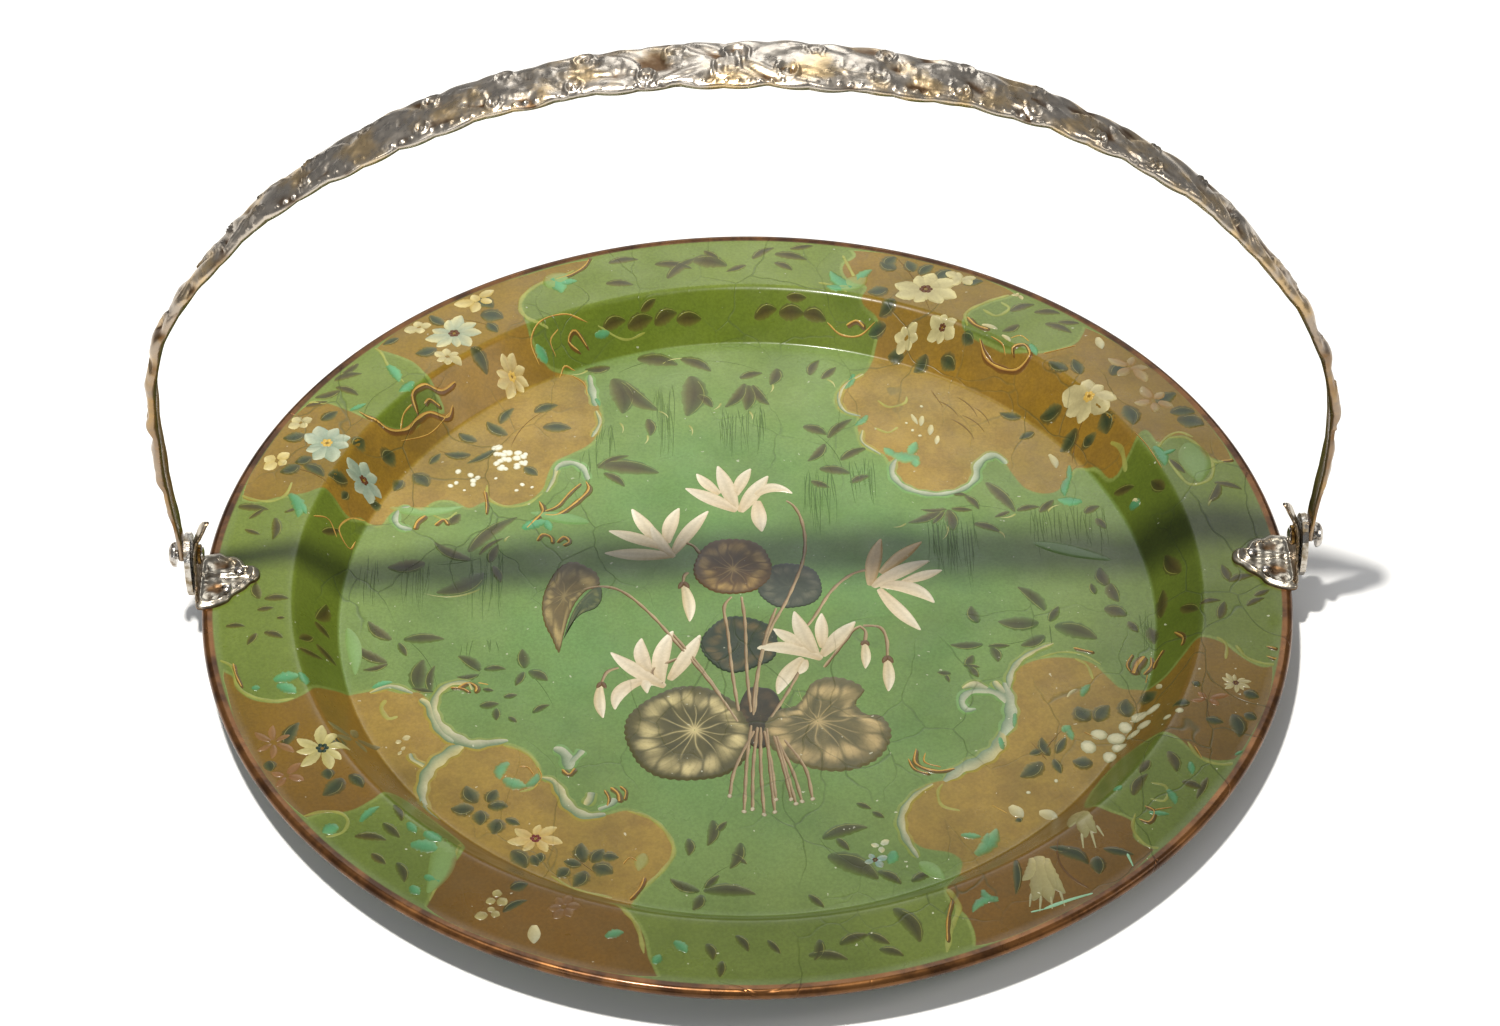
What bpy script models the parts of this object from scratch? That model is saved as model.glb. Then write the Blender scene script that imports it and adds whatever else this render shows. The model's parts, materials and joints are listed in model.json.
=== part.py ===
"""Round painted tray with a wired rim and a cast swing handle.

Frame: metres, +Z up, origin at the middle of the well's underside, which is the
face the tray rests on. X runs along the line of the two pivots, and -Y is the front.
The handle stands upright at rest and turns about the X line through the pivots.
"""
import math

import bpy
import bmesh
from mathutils import Vector

MM = 0.001

# Driving dimensions, in millimetres.
GAP = 0.3                 # air between touching pieces
SHEET = 0.8               # thickness of the tray's sheet
RIM_R = 185.0             # outer radius of the rolled rim
WELL_R = 140.2            # radius where the wall leaves the well
FLANGE_IN_R = 154.6       # radius where the wall meets the flange
FLANGE_Z = 16.45          # top face of the flange
RIM_TOP = 16.8            # crest of the rolled rim
BEAD_R = 1.95             # outer radius of the rolled rim's section
BEND_LOW = 2.6            # bend radii of the wall, on the sheet's middle line
BEND_HIGH = 3.6
TURN_STEPS = 80           # facets round the tray

PIVOT_Z = 30.4            # height of the handle's axis
PIN_R = 1.6               # pivot rivet's shank
EAR_X = (185.4, 186.9)    # inner and outer face of the bracket's ear
SHIELD_X = (187.2, 189.2)
EYE_X = (189.5, 192.3)
DOME_X = (192.6, 195.2)
BURR_X = (184.2, 185.1)
TAIL_X = (183.2, 183.9)
EYE_R = 5.0
DOME_R = 4.3
BURR_R = 3.4

LEAF_BOTTOM = FLANGE_Z + GAP
BRIDGE_BOTTOM = RIM_TOP + 0.35
LEAF_RIVETS = ((172.6, 3.4), (176.4, -5.2))   # distance from the middle, and Y
LEAF_RIVET_R = 1.0
LEAF_RIVET_HEAD_R = 1.9
PLATE_X = (166.5, 179.6)  # backing plate under the flange
PLATE_HALF_Y = 9.5
PLATE_THICK = 1.0

LEAN = 3.8                # the top of the hand-bent arch leans this far towards -X
LEAN_FROM, LEAN_TO = 45.0, 105.0   # heights above the pivots between which the lean sets in

# Half of the arch's middle line: distance from the tray's middle, height above the pivots.
ARCH_HALF = (
    (190.9, 0.0), (190.9, 6.5), (191.9, 17.0), (193.5, 32.0), (193.9, 48.0), (193.0, 64.0),
    (189.5, 82.0), (181.2, 103.0), (166.6, 124.5), (148.0, 146.5), (125.0, 164.3),
    (100.0, 178.9), (75.0, 189.4), (46.0, 196.3), (20.0, 199.4), (0.0, 200.0),
)
# Width (along Y) and thickness of the arch's band, by height above the pivots.
BAND = (
    (0.0, 7.4, 2.8), (6.5, 7.4, 2.8), (14.0, 7.4, 3.4), (30.0, 8.2, 4.6), (60.0, 7.8, 5.0), (90.0, 8.8, 4.8),
    (120.0, 11.6, 4.4), (145.0, 15.8, 4.2), (165.0, 18.6, 4.2), (180.0, 20.8, 4.2), (201.0, 22.4, 4.2),
)


def clear_scene():
    for obj in list(bpy.data.objects):
        bpy.data.objects.remove(obj, do_unlink=True)


def material(name, colour, roughness, metallic):
    mat = bpy.data.materials.new(name)
    mat.use_nodes = True
    shader = mat.node_tree.nodes["Principled BSDF"]
    shader.inputs["Base Color"].default_value = (*colour, 1.0)
    shader.inputs["Roughness"].default_value = roughness
    shader.inputs["Metallic"].default_value = metallic
    return mat


def add_object(name, verts, faces, mat, smooth_angle=None):
    """A mesh object from points in millimetres, with its faces turned outwards."""
    mesh = bpy.data.meshes.new(name)
    mesh.from_pydata([Vector(v) * MM for v in verts], [], faces)
    work = bmesh.new()
    work.from_mesh(mesh)
    bmesh.ops.recalc_face_normals(work, faces=work.faces)
    work.to_mesh(mesh)
    work.free()
    if smooth_angle is not None:
        mesh.shade_smooth()
        mesh.set_sharp_from_angle(angle=math.radians(smooth_angle))
    obj = bpy.data.objects.new(name, mesh)
    bpy.context.scene.collection.objects.link(obj)
    if mat is not None:
        mesh.materials.append(mat)
    return obj


def loft(sections):
    """Points and faces of a closed solid through sections with equal numbers of points."""
    count = len(sections[0])
    verts = [point for section in sections for point in section]
    faces = [tuple(range(count)), tuple(range(len(verts) - count, len(verts)))]
    for row in range(len(sections) - 1):
        for col in range(count):
            here, there = row * count, (row + 1) * count
            after = (col + 1) % count
            faces.append((here + col, here + after, there + after, there + col))
    return verts, faces


def interpolate(rows, at, column):
    """Reads a column of a small table of (position, value, ...) rows, straight between rows."""
    for low, high in zip(rows, rows[1:]):
        if at <= high[0]:
            part = (at - low[0]) / (high[0] - low[0])
            return low[column] + (high[column] - low[column]) * max(part, 0.0)
    return rows[-1][column]


def turned(name, profile, x_axis_at, mat, steps=24):
    """A solid turned about a line along X. The profile is (x, radius) pairs, open at the axis."""
    sections = []
    for x, radius in profile:
        ring = [
            (x, radius * math.cos(2 * math.pi * k / steps) + x_axis_at[0],
             radius * math.sin(2 * math.pi * k / steps) + x_axis_at[1])
            for k in range(steps)
        ]
        sections.append(ring)
    return add_object(name, *loft(sections), mat, smooth_angle=35)


def upright_pin(name, profile, centre, mat, steps=16):
    """A solid turned about an upright line. The profile is (z, radius) pairs."""
    sections = []
    for z, radius in profile:
        ring = [
            (centre[0] + radius * math.cos(2 * math.pi * k / steps),
             centre[1] + radius * math.sin(2 * math.pi * k / steps), z)
            for k in range(steps)
        ]
        sections.append(ring)
    return add_object(name, *loft(sections), mat, smooth_angle=35)


def boolean(target, tool, operation):
    """Applies an exact Boolean and removes the tool."""
    mod = target.modifiers.new(operation.lower(), "BOOLEAN")
    mod.operation = operation
    mod.solver = "EXACT"
    mod.object = tool
    graph = bpy.context.evaluated_depsgraph_get()
    result = bpy.data.meshes.new_from_object(target.evaluated_get(graph))
    old = target.data
    target.modifiers.remove(mod)
    target.data = result
    result.name = old.name
    bpy.data.meshes.remove(old)
    bpy.data.objects.remove(tool, do_unlink=True)


def arc(centre, radius, start, end, steps):
    """Points on an arc in the (r, z) plane, angles in degrees."""
    angles = [math.radians(start + (end - start) * k / steps) for k in range(steps + 1)]
    return [(centre[0] + radius * math.cos(a), centre[1] + radius * math.sin(a)) for a in angles]


def pan_middle_line():
    """The sheet's middle line from the well's edge to the end of the curl, as (r, z) points."""
    well_z = SHEET / 2
    flange_z = FLANGE_Z - SHEET / 2
    slope = math.atan2(flange_z - well_z, FLANGE_IN_R - WELL_R)
    low_tangent = BEND_LOW * math.tan(slope / 2)
    high_tangent = BEND_HIGH * math.tan(slope / 2)
    low_centre = (WELL_R - low_tangent, well_z + BEND_LOW)
    high_centre = (FLANGE_IN_R + high_tangent, flange_z - BEND_HIGH)
    rise = math.degrees(slope)
    line = arc(low_centre, BEND_LOW, -90, -90 + rise, 3)
    line += arc(high_centre, BEND_HIGH, 90 + rise, 90, 3)
    bead = (RIM_R - BEAD_R, RIM_TOP - BEAD_R)
    line.append((bead[0] - 2.1, flange_z))
    line += arc(bead, BEAD_R - SHEET / 2, 108, -168, 9)
    return line


def offset_line(line, distance):
    """The line moved sideways, to its left for a positive distance."""
    moved = []
    for k, (r, z) in enumerate(line):
        before = line[max(k - 1, 0)]
        after = line[min(k + 1, len(line) - 1)]
        dr, dz = after[0] - before[0], after[1] - before[1]
        size = math.hypot(dr, dz)
        moved.append((r - dz / size * distance, z + dr / size * distance))
    return moved


def make_tray_pan(mat):
    """Spun from one outline of the sheet: its upper face out to the curl, and its lower face back."""
    line = pan_middle_line()
    upper = offset_line(line, SHEET / 2)
    lower = offset_line(line, -SHEET / 2)
    outline = upper + lower[::-1]
    verts = [(0.0, 0.0, SHEET), (0.0, 0.0, 0.0)]
    for r, z in outline:
        for k in range(TURN_STEPS):
            turn = 2 * math.pi * k / TURN_STEPS
            verts.append((r * math.cos(turn), r * math.sin(turn), z))
    faces = []
    last = 2 + (len(outline) - 1) * TURN_STEPS
    for k in range(TURN_STEPS):
        after = (k + 1) % TURN_STEPS
        faces.append((0, 2 + k, 2 + after))
        faces.append((1, last + after, last + k))
        for row in range(len(outline) - 1):
            here, there = 2 + row * TURN_STEPS, 2 + (row + 1) * TURN_STEPS
            faces.append((here + k, there + k, there + after, here + after))
    return add_object("tray_pan", verts, faces, mat, smooth_angle=40)


def make_rim_wire(mat):
    """A closed ring of wire inside the curl, clear of the sheet all round."""
    wire_r = BEAD_R - SHEET - GAP
    centre = (RIM_R - BEAD_R, RIM_TOP - BEAD_R)
    sides = 6
    verts = []
    for k in range(TURN_STEPS):
        turn = 2 * math.pi * k / TURN_STEPS
        for side in range(sides):
            angle = 2 * math.pi * side / sides
            r = centre[0] + wire_r * math.cos(angle)
            verts.append((r * math.cos(turn), r * math.sin(turn), centre[1] + wire_r * math.sin(angle)))
    faces = []
    for k in range(TURN_STEPS):
        here, there = k * sides, (k + 1) % TURN_STEPS * sides
        for side in range(sides):
            after = (side + 1) % sides
            faces.append((here + side, there + side, there + after, here + after))
    return add_object("rim_wire", verts, faces, mat, smooth_angle=80)


def smooth_curve(points, per_span):
    """A Catmull-Rom curve through the points, as (point, direction) pairs in the XZ plane."""
    vecs = [Vector((x, 0.0, z)) for x, z in points]
    ends = [vecs[0] * 2 - vecs[1]] + vecs + [vecs[-1] * 2 - vecs[-2]]
    out = []
    for k in range(1, len(ends) - 2):
        a, b, c, d = ends[k - 1:k + 3]
        for step in range(per_span):
            t = step / per_span
            out.append(0.5 * (2 * b + (c - a) * t + (2 * a - 5 * b + 4 * c - d) * t * t
                              + (3 * b - a - 3 * c + d) * t ** 3))
    out.append(vecs[-1])
    pairs = []
    for k, point in enumerate(out):
        along = out[min(k + 1, len(out) - 1)] - out[max(k - 1, 0)]
        pairs.append((point, along.normalized()))
    return pairs


def arch_points():
    """The whole middle line, from the right pivot over the top to the left pivot."""
    right = list(ARCH_HALF)
    left = [(-x, h) for x, h in ARCH_HALF[-2::-1]]
    leaning = []
    for x, h in right + left:
        part = min(max((h - LEAN_FROM) / (LEAN_TO - LEAN_FROM), 0.0), 1.0)
        leaning.append((x - LEAN * part * part * (3 - 2 * part), h))
    return leaning


def make_handle_arch(mat):
    """A band of eight-sided section carried along the arch, joined to an eye at each end."""
    sections = []
    for point, along in smooth_curve(arch_points(), 2):
        height = point.z
        width = interpolate(BAND, height, 1) / 2
        thick = interpolate(BAND, height, 2) / 2
        out = Vector((along.z, 0.0, -along.x))
        inset = thick * 0.45
        ring = []
        for y, n in ((width, thick - inset), (width - inset, thick), (-width + inset, thick),
                     (-width, thick - inset), (-width, inset - thick), (-width + inset, -thick),
                     (width - inset, -thick), (width, inset - thick)):
            ring.append(tuple(point + Vector((0.0, y, PIVOT_Z)) + out * n))
        sections.append(ring)
    arch = add_object("handle_arch", *loft(sections), mat, smooth_angle=40)
    for side in (1, -1):
        eye = turned("eye", [(side * EYE_X[0], EYE_R), (side * EYE_X[1], EYE_R)], (0.0, PIVOT_Z), None, 28)
        boolean(arch, eye, "UNION")
        bore = turned(
            "bore", [(side * (EYE_X[0] - 4), PIN_R + GAP), (side * (EYE_X[1] + 4), PIN_R + GAP)],
            (0.0, PIVOT_Z), None,
        )
        boolean(arch, bore, "DIFFERENCE")
    # The origin goes to the hinge line; the mesh moves back by as much.
    for vert in arch.data.vertices:
        vert.co.z -= PIVOT_Z * MM
    arch.location.z = PIVOT_Z * MM
    return arch


# Leaf of the bracket: distance from the middle, half width, and how high its middle ridge stands.
LEAF = (
    (165.8, 2.2, 1.5), (167.0, 4.2, 2.0), (169.2, 4.9, 2.2), (170.6, 4.4, 2.2), (172.4, 8.2, 2.4),
    (174.6, 9.4, 2.6), (176.4, 8.8, 2.7), (178.4, 12.4, 2.8), (181.0, 13.6, 3.0), (183.6, 12.8, 3.1),
    (185.4, 11.6, 3.1), (186.9, 11.0, 3.1),
)
LEAF_EDGE = 1.0           # thickness at the leaf's edge
# Ear: height, half width, and how far it bends inward.
EAR = (
    (13.2, 8.6, 0.0), (14.6, 10.6, 0.0), (19.6, 10.8, 0.0), (22.6, 8.0, 0.0), (26.2, 6.0, 0.0),
    (30.4, 5.6, 0.0), (34.4, 4.8, 0.3), (36.6, 3.6, 0.9), (38.4, 3.2, 1.6), (40.6, 4.1, 2.6),
    (42.6, 2.9, 3.8), (44.6, 0.8, 5.0),
)
# Shield plate: height and half width.
SHIELD = (
    (12.6, 0.8), (14.8, 3.6), (17.4, 6.2), (20.6, 8.0), (24.6, 8.6), (29.0, 8.2), (33.0, 7.0),
    (36.2, 4.8), (38.2, 2.0),
)


def make_bracket(name, side, mat):
    """The leaf and the ear are two lofts made one, with holes for the rivets."""
    sections = []
    for x, half, ridge in LEAF:
        low = BRIDGE_BOTTOM if x > 180.0 else LEAF_BOTTOM
        sections.append([
            (side * x, -half, low), (side * x, half, low), (side * x, half, low + LEAF_EDGE),
            (side * x, half * 0.45, low + ridge * 0.8), (side * x, 0.0, low + ridge),
            (side * x, -half * 0.45, low + ridge * 0.8), (side * x, -half, low + LEAF_EDGE),
        ])
    leaf = add_object(name, *loft(sections), mat, smooth_angle=30)
    sections = []
    for z, half, bend in EAR:
        inner, outer = EAR_X[0] - bend, EAR_X[1] - bend
        sections.append([
            (side * inner, -half, z), (side * inner, half, z), (side * outer, half, z), (side * outer, -half, z)
        ])
    ear = add_object("ear", *loft(sections), None)
    boolean(leaf, ear, "UNION")
    bore = turned(
        "bore", [(side * (EAR_X[0] - 2), PIN_R + GAP), (side * (EAR_X[1] + 2), PIN_R + GAP)],
        (0.0, PIVOT_Z), None,
    )
    boolean(leaf, bore, "DIFFERENCE")
    for x, y in LEAF_RIVETS:
        hole = upright_pin("hole", [(10.0, LEAF_RIVET_R + GAP), (25.0, LEAF_RIVET_R + GAP)], (side * x, y), None)
        boolean(leaf, hole, "DIFFERENCE")
    leaf.data.shade_smooth()
    leaf.data.set_sharp_from_angle(angle=math.radians(30))
    return leaf


def make_shield(name, side, mat):
    sections = [
        [(side * SHIELD_X[0], -half, z), (side * SHIELD_X[0], half, z),
         (side * SHIELD_X[1], half, z), (side * SHIELD_X[1], -half, z)]
        for z, half in SHIELD
    ]
    plate = add_object(name, *loft(sections), mat)
    bore = turned(
        "bore", [(side * (SHIELD_X[0] - 2), PIN_R + GAP), (side * (SHIELD_X[1] + 2), PIN_R + GAP)],
        (0.0, PIVOT_Z), None,
    )
    boolean(plate, bore, "DIFFERENCE")
    return plate


def make_pivot_rivet(name, side, mat):
    """Tail, shank and domed head, one turned piece. The dome is a quarter of an ellipse."""
    tail = [(TAIL_X[0], PIN_R), (TAIL_X[0] + 0.3, PIN_R + 0.9), (TAIL_X[1], PIN_R + 0.9), (TAIL_X[1], PIN_R)]
    depth = DOME_X[1] - DOME_X[0] - 0.5
    dome = [(DOME_X[0], PIN_R), (DOME_X[0], DOME_R), (DOME_X[0] + 0.5, DOME_R)]
    for k in range(1, 5):
        angle = math.radians(k * 20)
        dome.append((DOME_X[0] + 0.5 + depth * math.sin(angle), DOME_R * math.cos(angle)))
    dome.append((DOME_X[1], DOME_R * 0.08))
    return turned(name, [(side * x, r) for x, r in tail + dome], (0.0, PIVOT_Z), mat)


def make_burr(name, side, mat):
    ring = turned(name, [(side * BURR_X[0], BURR_R), (side * BURR_X[1], BURR_R)], (0.0, PIVOT_Z), mat)
    bore = turned(
        "bore", [(side * (BURR_X[0] - 2), PIN_R + GAP), (side * (BURR_X[1] + 2), PIN_R + GAP)],
        (0.0, PIVOT_Z), None,
    )
    boolean(ring, bore, "DIFFERENCE")
    return ring


def leaf_top(x, y):
    """Height of the leaf's upper face over a point of the flange."""
    half = interpolate(LEAF, x, 1)
    ridge = interpolate(LEAF, x, 2)
    part = min(abs(y) / half, 1.0)
    if part < 0.45:
        return LEAF_BOTTOM + ridge * (1.0 - 0.2 * part / 0.45)
    return LEAF_BOTTOM + ridge * 0.8 + (LEAF_EDGE - ridge * 0.8) * (part - 0.45) / 0.55


def make_leaf_rivet(name, side, place, mat):
    """A rivet through the leaf, the flange and the backing plate, with its tail closed underneath."""
    x, y = place
    foot = FLANGE_Z - SHEET - GAP - PLATE_THICK - GAP
    seat = leaf_top(x, y) + GAP + 0.45
    profile = [
        (foot - 0.7, LEAF_RIVET_R), (foot - 0.5, LEAF_RIVET_HEAD_R - 0.2), (foot, LEAF_RIVET_HEAD_R - 0.2),
        (foot, LEAF_RIVET_R), (seat, LEAF_RIVET_R), (seat, LEAF_RIVET_HEAD_R),
        (seat + 0.5, LEAF_RIVET_HEAD_R * 0.86), (seat + 0.85, LEAF_RIVET_HEAD_R * 0.5),
        (seat + 1.0, LEAF_RIVET_HEAD_R * 0.12),
    ]
    return upright_pin(name, profile, (side * x, y), mat)


def make_backing_plate(name, side, mat):
    top = FLANGE_Z - SHEET - GAP
    low = top - PLATE_THICK
    sections = []
    for x, half in ((PLATE_X[0], PLATE_HALF_Y - 2.5), (PLATE_X[0] + 2.5, PLATE_HALF_Y),
                    (PLATE_X[1] - 2.5, PLATE_HALF_Y), (PLATE_X[1], PLATE_HALF_Y - 2.5)):
        sections.append([(side * x, -half, low), (side * x, half, low), (side * x, half, top), (side * x, -half, top)])
    plate = add_object(name, *loft(sections), mat)
    for x, y in LEAF_RIVETS:
        hole = upright_pin("hole", [(10.0, LEAF_RIVET_R + GAP), (25.0, LEAF_RIVET_R + GAP)], (side * x, y), None)
        boolean(plate, hole, "DIFFERENCE")
    return plate


def drill_flange(pan):
    """Holes in the flange for the leaf rivets."""
    for side, word in ((1, "right"), (-1, "left")):
        for k, (x, y) in enumerate(LEAF_RIVETS):
            cutter = upright_pin(
                f"flange_cutter_{word}_{k}", [(14.0, LEAF_RIVET_R + GAP), (18.0, LEAF_RIVET_R + GAP)],
                (side * x, y), None,
            )
            boolean(pan, cutter, "DIFFERENCE")
    pan.data.shade_smooth()
    pan.data.set_sharp_from_angle(angle=math.radians(40))


def main():
    clear_scene()
    lacquer = material("sage_lacquer", (0.12, 0.20, 0.06), 0.35, 0.0)
    iron = material("iron_wire", (0.28, 0.27, 0.26), 0.5, 1.0)
    silvered = material("silvered_brass", (0.62, 0.55, 0.44), 0.3, 1.0)
    brass = material("aged_brass", (0.50, 0.36, 0.17), 0.38, 1.0)

    pan = make_tray_pan(lacquer)
    drill_flange(pan)
    make_rim_wire(iron)
    make_handle_arch(silvered)
    for side, word in ((-1, "left"), (1, "right")):
        make_bracket(f"bracket_{word}", side, silvered)
        make_shield(f"pivot_shield_{word}", side, silvered)
        make_pivot_rivet(f"pivot_rivet_{word}", side, silvered)
        make_burr(f"pivot_burr_{word}", side, brass)
        for place, end in zip(LEAF_RIVETS, ("back", "front")):
            make_leaf_rivet(f"bracket_rivet_{word}_{end}", side, place, silvered)
        make_backing_plate(f"backing_plate_{word}", side, iron)


main()
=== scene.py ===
# %% [markdown]
# # A painted round tray with a swing handle
# The real object is a spun sheet-metal tray, lacquered sage green and painted in oils, with a cast and
# silvered handle that swings on two leaf brackets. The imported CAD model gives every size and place.
# Here each piece gets its true surface: the pan as a turned profile, the castings as relief on a grid,
# and the painting as hundreds of small brush strokes, each a low film of paint laid on the sheet.

# %% Load the frame
import json
import math

import bpy
import numpy as np
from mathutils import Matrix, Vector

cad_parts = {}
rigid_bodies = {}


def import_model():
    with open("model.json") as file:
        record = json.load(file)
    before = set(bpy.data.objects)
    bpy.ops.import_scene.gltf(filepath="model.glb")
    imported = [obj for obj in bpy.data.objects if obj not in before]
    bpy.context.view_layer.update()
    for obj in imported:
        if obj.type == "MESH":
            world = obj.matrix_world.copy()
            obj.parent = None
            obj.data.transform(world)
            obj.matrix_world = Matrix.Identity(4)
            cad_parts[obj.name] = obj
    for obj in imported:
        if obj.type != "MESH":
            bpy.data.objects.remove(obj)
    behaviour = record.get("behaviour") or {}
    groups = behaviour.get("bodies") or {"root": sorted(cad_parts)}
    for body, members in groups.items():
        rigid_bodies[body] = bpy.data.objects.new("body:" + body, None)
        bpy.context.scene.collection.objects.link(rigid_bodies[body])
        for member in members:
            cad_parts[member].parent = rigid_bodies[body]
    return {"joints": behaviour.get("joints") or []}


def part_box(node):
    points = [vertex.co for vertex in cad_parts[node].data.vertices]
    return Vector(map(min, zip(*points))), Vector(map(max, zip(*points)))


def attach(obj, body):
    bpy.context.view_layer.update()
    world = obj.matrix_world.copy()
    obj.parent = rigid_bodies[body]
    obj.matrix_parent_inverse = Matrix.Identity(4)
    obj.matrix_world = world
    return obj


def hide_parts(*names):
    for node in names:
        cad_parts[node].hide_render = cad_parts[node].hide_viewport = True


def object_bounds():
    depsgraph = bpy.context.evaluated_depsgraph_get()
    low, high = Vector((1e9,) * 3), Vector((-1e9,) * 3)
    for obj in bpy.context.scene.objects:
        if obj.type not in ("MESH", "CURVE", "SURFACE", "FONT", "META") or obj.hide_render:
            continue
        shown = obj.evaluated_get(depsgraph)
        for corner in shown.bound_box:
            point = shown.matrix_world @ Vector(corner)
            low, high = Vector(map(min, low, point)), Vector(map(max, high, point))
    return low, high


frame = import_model()
cad_low, cad_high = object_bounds()
MM = 0.001
chance = np.random.default_rng(1847)

# %% [markdown]
# The camera stands in front and looks down at 43 degrees with a long lens, so the round rim shows as an
# ellipse and the upright handle arches over the back of the well. One lamp high over the front left edge
# throws the handle's shadow across the painting, and wide dim lamps and a pale sky fill the rest.

# %% Camera, lamps and floor
VIEW_HEIGHT = 0.0449
VIEW_DISTANCE = 1.251
ELEVATION = math.radians(42.84)
AZIMUTH = math.radians(-1.48)
LENS_MM = 89.5


def aim(obj, target):
    """Turns an object so that its -Z looks at a point."""
    toward = np.array(target) - np.array(obj.location)
    flat = math.hypot(toward[0], toward[1])
    obj.rotation_euler = (math.atan2(flat, -toward[2]), 0.0, math.atan2(-toward[0], toward[1]))


def area_lamp(name, place, target, size, power, colour):
    """A round lamp of a width in metres and a power in watts, turned to a target."""
    lamp = bpy.data.lights.new(name, "AREA")
    lamp.shape = "DISK"
    lamp.size = size
    lamp.energy = power
    lamp.color = colour
    obj = bpy.data.objects.new(name, lamp)
    obj.location = place
    aim(obj, target)
    bpy.context.scene.collection.objects.link(obj)


def make_camera():
    """The camera at its distance from the target, along the direction of its two angles."""
    camera = bpy.data.cameras.new("camera")
    camera.lens = LENS_MM
    camera.sensor_width = 36.0
    obj = bpy.data.objects.new("camera", camera)
    toward_viewer = (
        math.sin(AZIMUTH) * math.cos(ELEVATION),
        -math.cos(AZIMUTH) * math.cos(ELEVATION),
        math.sin(ELEVATION),
    )
    target = np.array([0.00088, 0.0, VIEW_HEIGHT])
    obj.location = target + VIEW_DISTANCE * np.array(toward_viewer)
    aim(obj, target)
    bpy.context.scene.collection.objects.link(obj)
    bpy.context.scene.camera = obj
    return obj


camera = make_camera()
area_lamp("key", (-0.30, -0.175, 1.75), (0.0, 0.0, 0.0), 0.12, 38.0, (1.0, 0.97, 0.92))
area_lamp("fill_front", (-0.9, -1.5, 1.1), (0.0, 0.0, 0.05), 0.9, 6.0, (0.95, 0.97, 1.0))
area_lamp("fill_right", (1.5, -0.3, 1.2), (0.0, 0.0, 0.05), 0.6, 5.0, (1.0, 0.95, 0.88))
area_lamp("back_sheen", (0.1, 1.9, 1.4), (0.0, 0.05, 0.02), 1.2, 9.0, (0.96, 0.98, 1.0))
world = bpy.data.worlds.new("studio")
world.use_nodes = True
world.node_tree.nodes["Background"].inputs["Color"].default_value = (0.93, 0.95, 1.0, 1.0)
world.node_tree.nodes["Background"].inputs["Strength"].default_value = 0.22
bpy.context.scene.world = world
bpy.context.scene.view_settings.view_transform = "Standard"
print("camera distance", round((camera.location - cad_low).length, 3), "m")

# %% [markdown]
# Every surface below is a grid of points worked out with numpy and handed to Blender in one call. The
# helper closes a grid along its rows or columns where the surface meets itself, and it stores a colour
# for each point, which the paint materials read.

# %% Mesh helpers
def srgb(red, green, blue):
    """A colour on a 0 to 255 scale, turned to the linear values that shaders use."""
    part = np.array([red, green, blue]) / 255.0
    return np.where(part <= 0.04045, part / 12.92, ((part + 0.055) / 1.055) ** 2.4)


def grid_faces(rows, cols, close_rows=False, close_cols=False, turn=False):
    """Quads between neighbours on a grid numbered row by row. turn reverses their direction."""
    r = np.arange(rows if close_rows else rows - 1)[:, None]
    c = np.arange(cols if close_cols else cols - 1)[None, :]
    after_r, after_c = (r + 1) % rows, (c + 1) % cols
    corners = [r * cols + c, r * cols + after_c, after_r * cols + after_c, after_r * cols + c]
    quads = np.stack([np.broadcast_to(k, (r.size, c.size)) for k in corners], -1).reshape(-1, 4)
    return quads[:, ::-1] if turn else quads


def add_mesh(name, points, quads, material, colours=None, smooth=True, caps=()):
    """One mesh object from points in metres and four-cornered faces, with a colour for each point.
    caps are extra faces of any number of corners, such as the ends of a closed tube."""
    mesh = bpy.data.meshes.new(name)
    sizes = np.concatenate([np.full(len(quads), 4), [len(cap) for cap in caps]]).astype(np.int32)
    loops = np.concatenate([quads.reshape(-1), *[np.array(cap) for cap in caps]]).astype(np.int32)
    starts = np.concatenate([[0], np.cumsum(sizes)[:-1]]).astype(np.int32)
    mesh.vertices.add(len(points))
    mesh.vertices.foreach_set("co", np.ascontiguousarray(points, np.float32).reshape(-1))
    mesh.loops.add(len(loops))
    mesh.loops.foreach_set("vertex_index", loops)
    mesh.polygons.add(len(sizes))
    mesh.polygons.foreach_set("loop_start", starts)
    mesh.polygons.foreach_set("use_smooth", np.full(len(sizes), smooth))
    mesh.update(calc_edges=True)
    if colours is not None:
        layer = mesh.color_attributes.new("paint", "FLOAT_COLOR", "POINT")
        rgba = np.concatenate([colours, np.ones((len(colours), 1))], 1).astype(np.float32)
        layer.data.foreach_set("color", rgba.reshape(-1))
    mesh.validate()
    mesh.materials.append(material)
    obj = bpy.data.objects.new(name, mesh)
    bpy.context.scene.collection.objects.link(obj)
    print(f"{name}: {len(points)} points, {len(sizes)} faces")
    return obj


def smooth_path(points, count, closed=False):
    """A Catmull-Rom curve through given points: each span is the cubic that leaves one point in the direction of its
    two neighbours and reaches the next in the same way."""
    p = np.asarray(points, float)
    if closed:
        p = np.concatenate([p[-1:], p, p[:2]])
    else:
        p = np.concatenate([2 * p[:1] - p[1:2], p, 2 * p[-1:] - p[-2:-1]])
    spans = len(p) - 3
    u = np.linspace(0, spans, count, endpoint=not closed)
    k = np.minimum(u.astype(int), spans - 1)
    t = (u - k)[:, None]
    a, b, c, d = p[k], p[k + 1], p[k + 2], p[k + 3]
    return 0.5 * (2 * b + (c - a) * t + (2 * a - 5 * b + 4 * c - d) * t**2 + (3 * b - a - 3 * c + d) * t**3)


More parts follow.
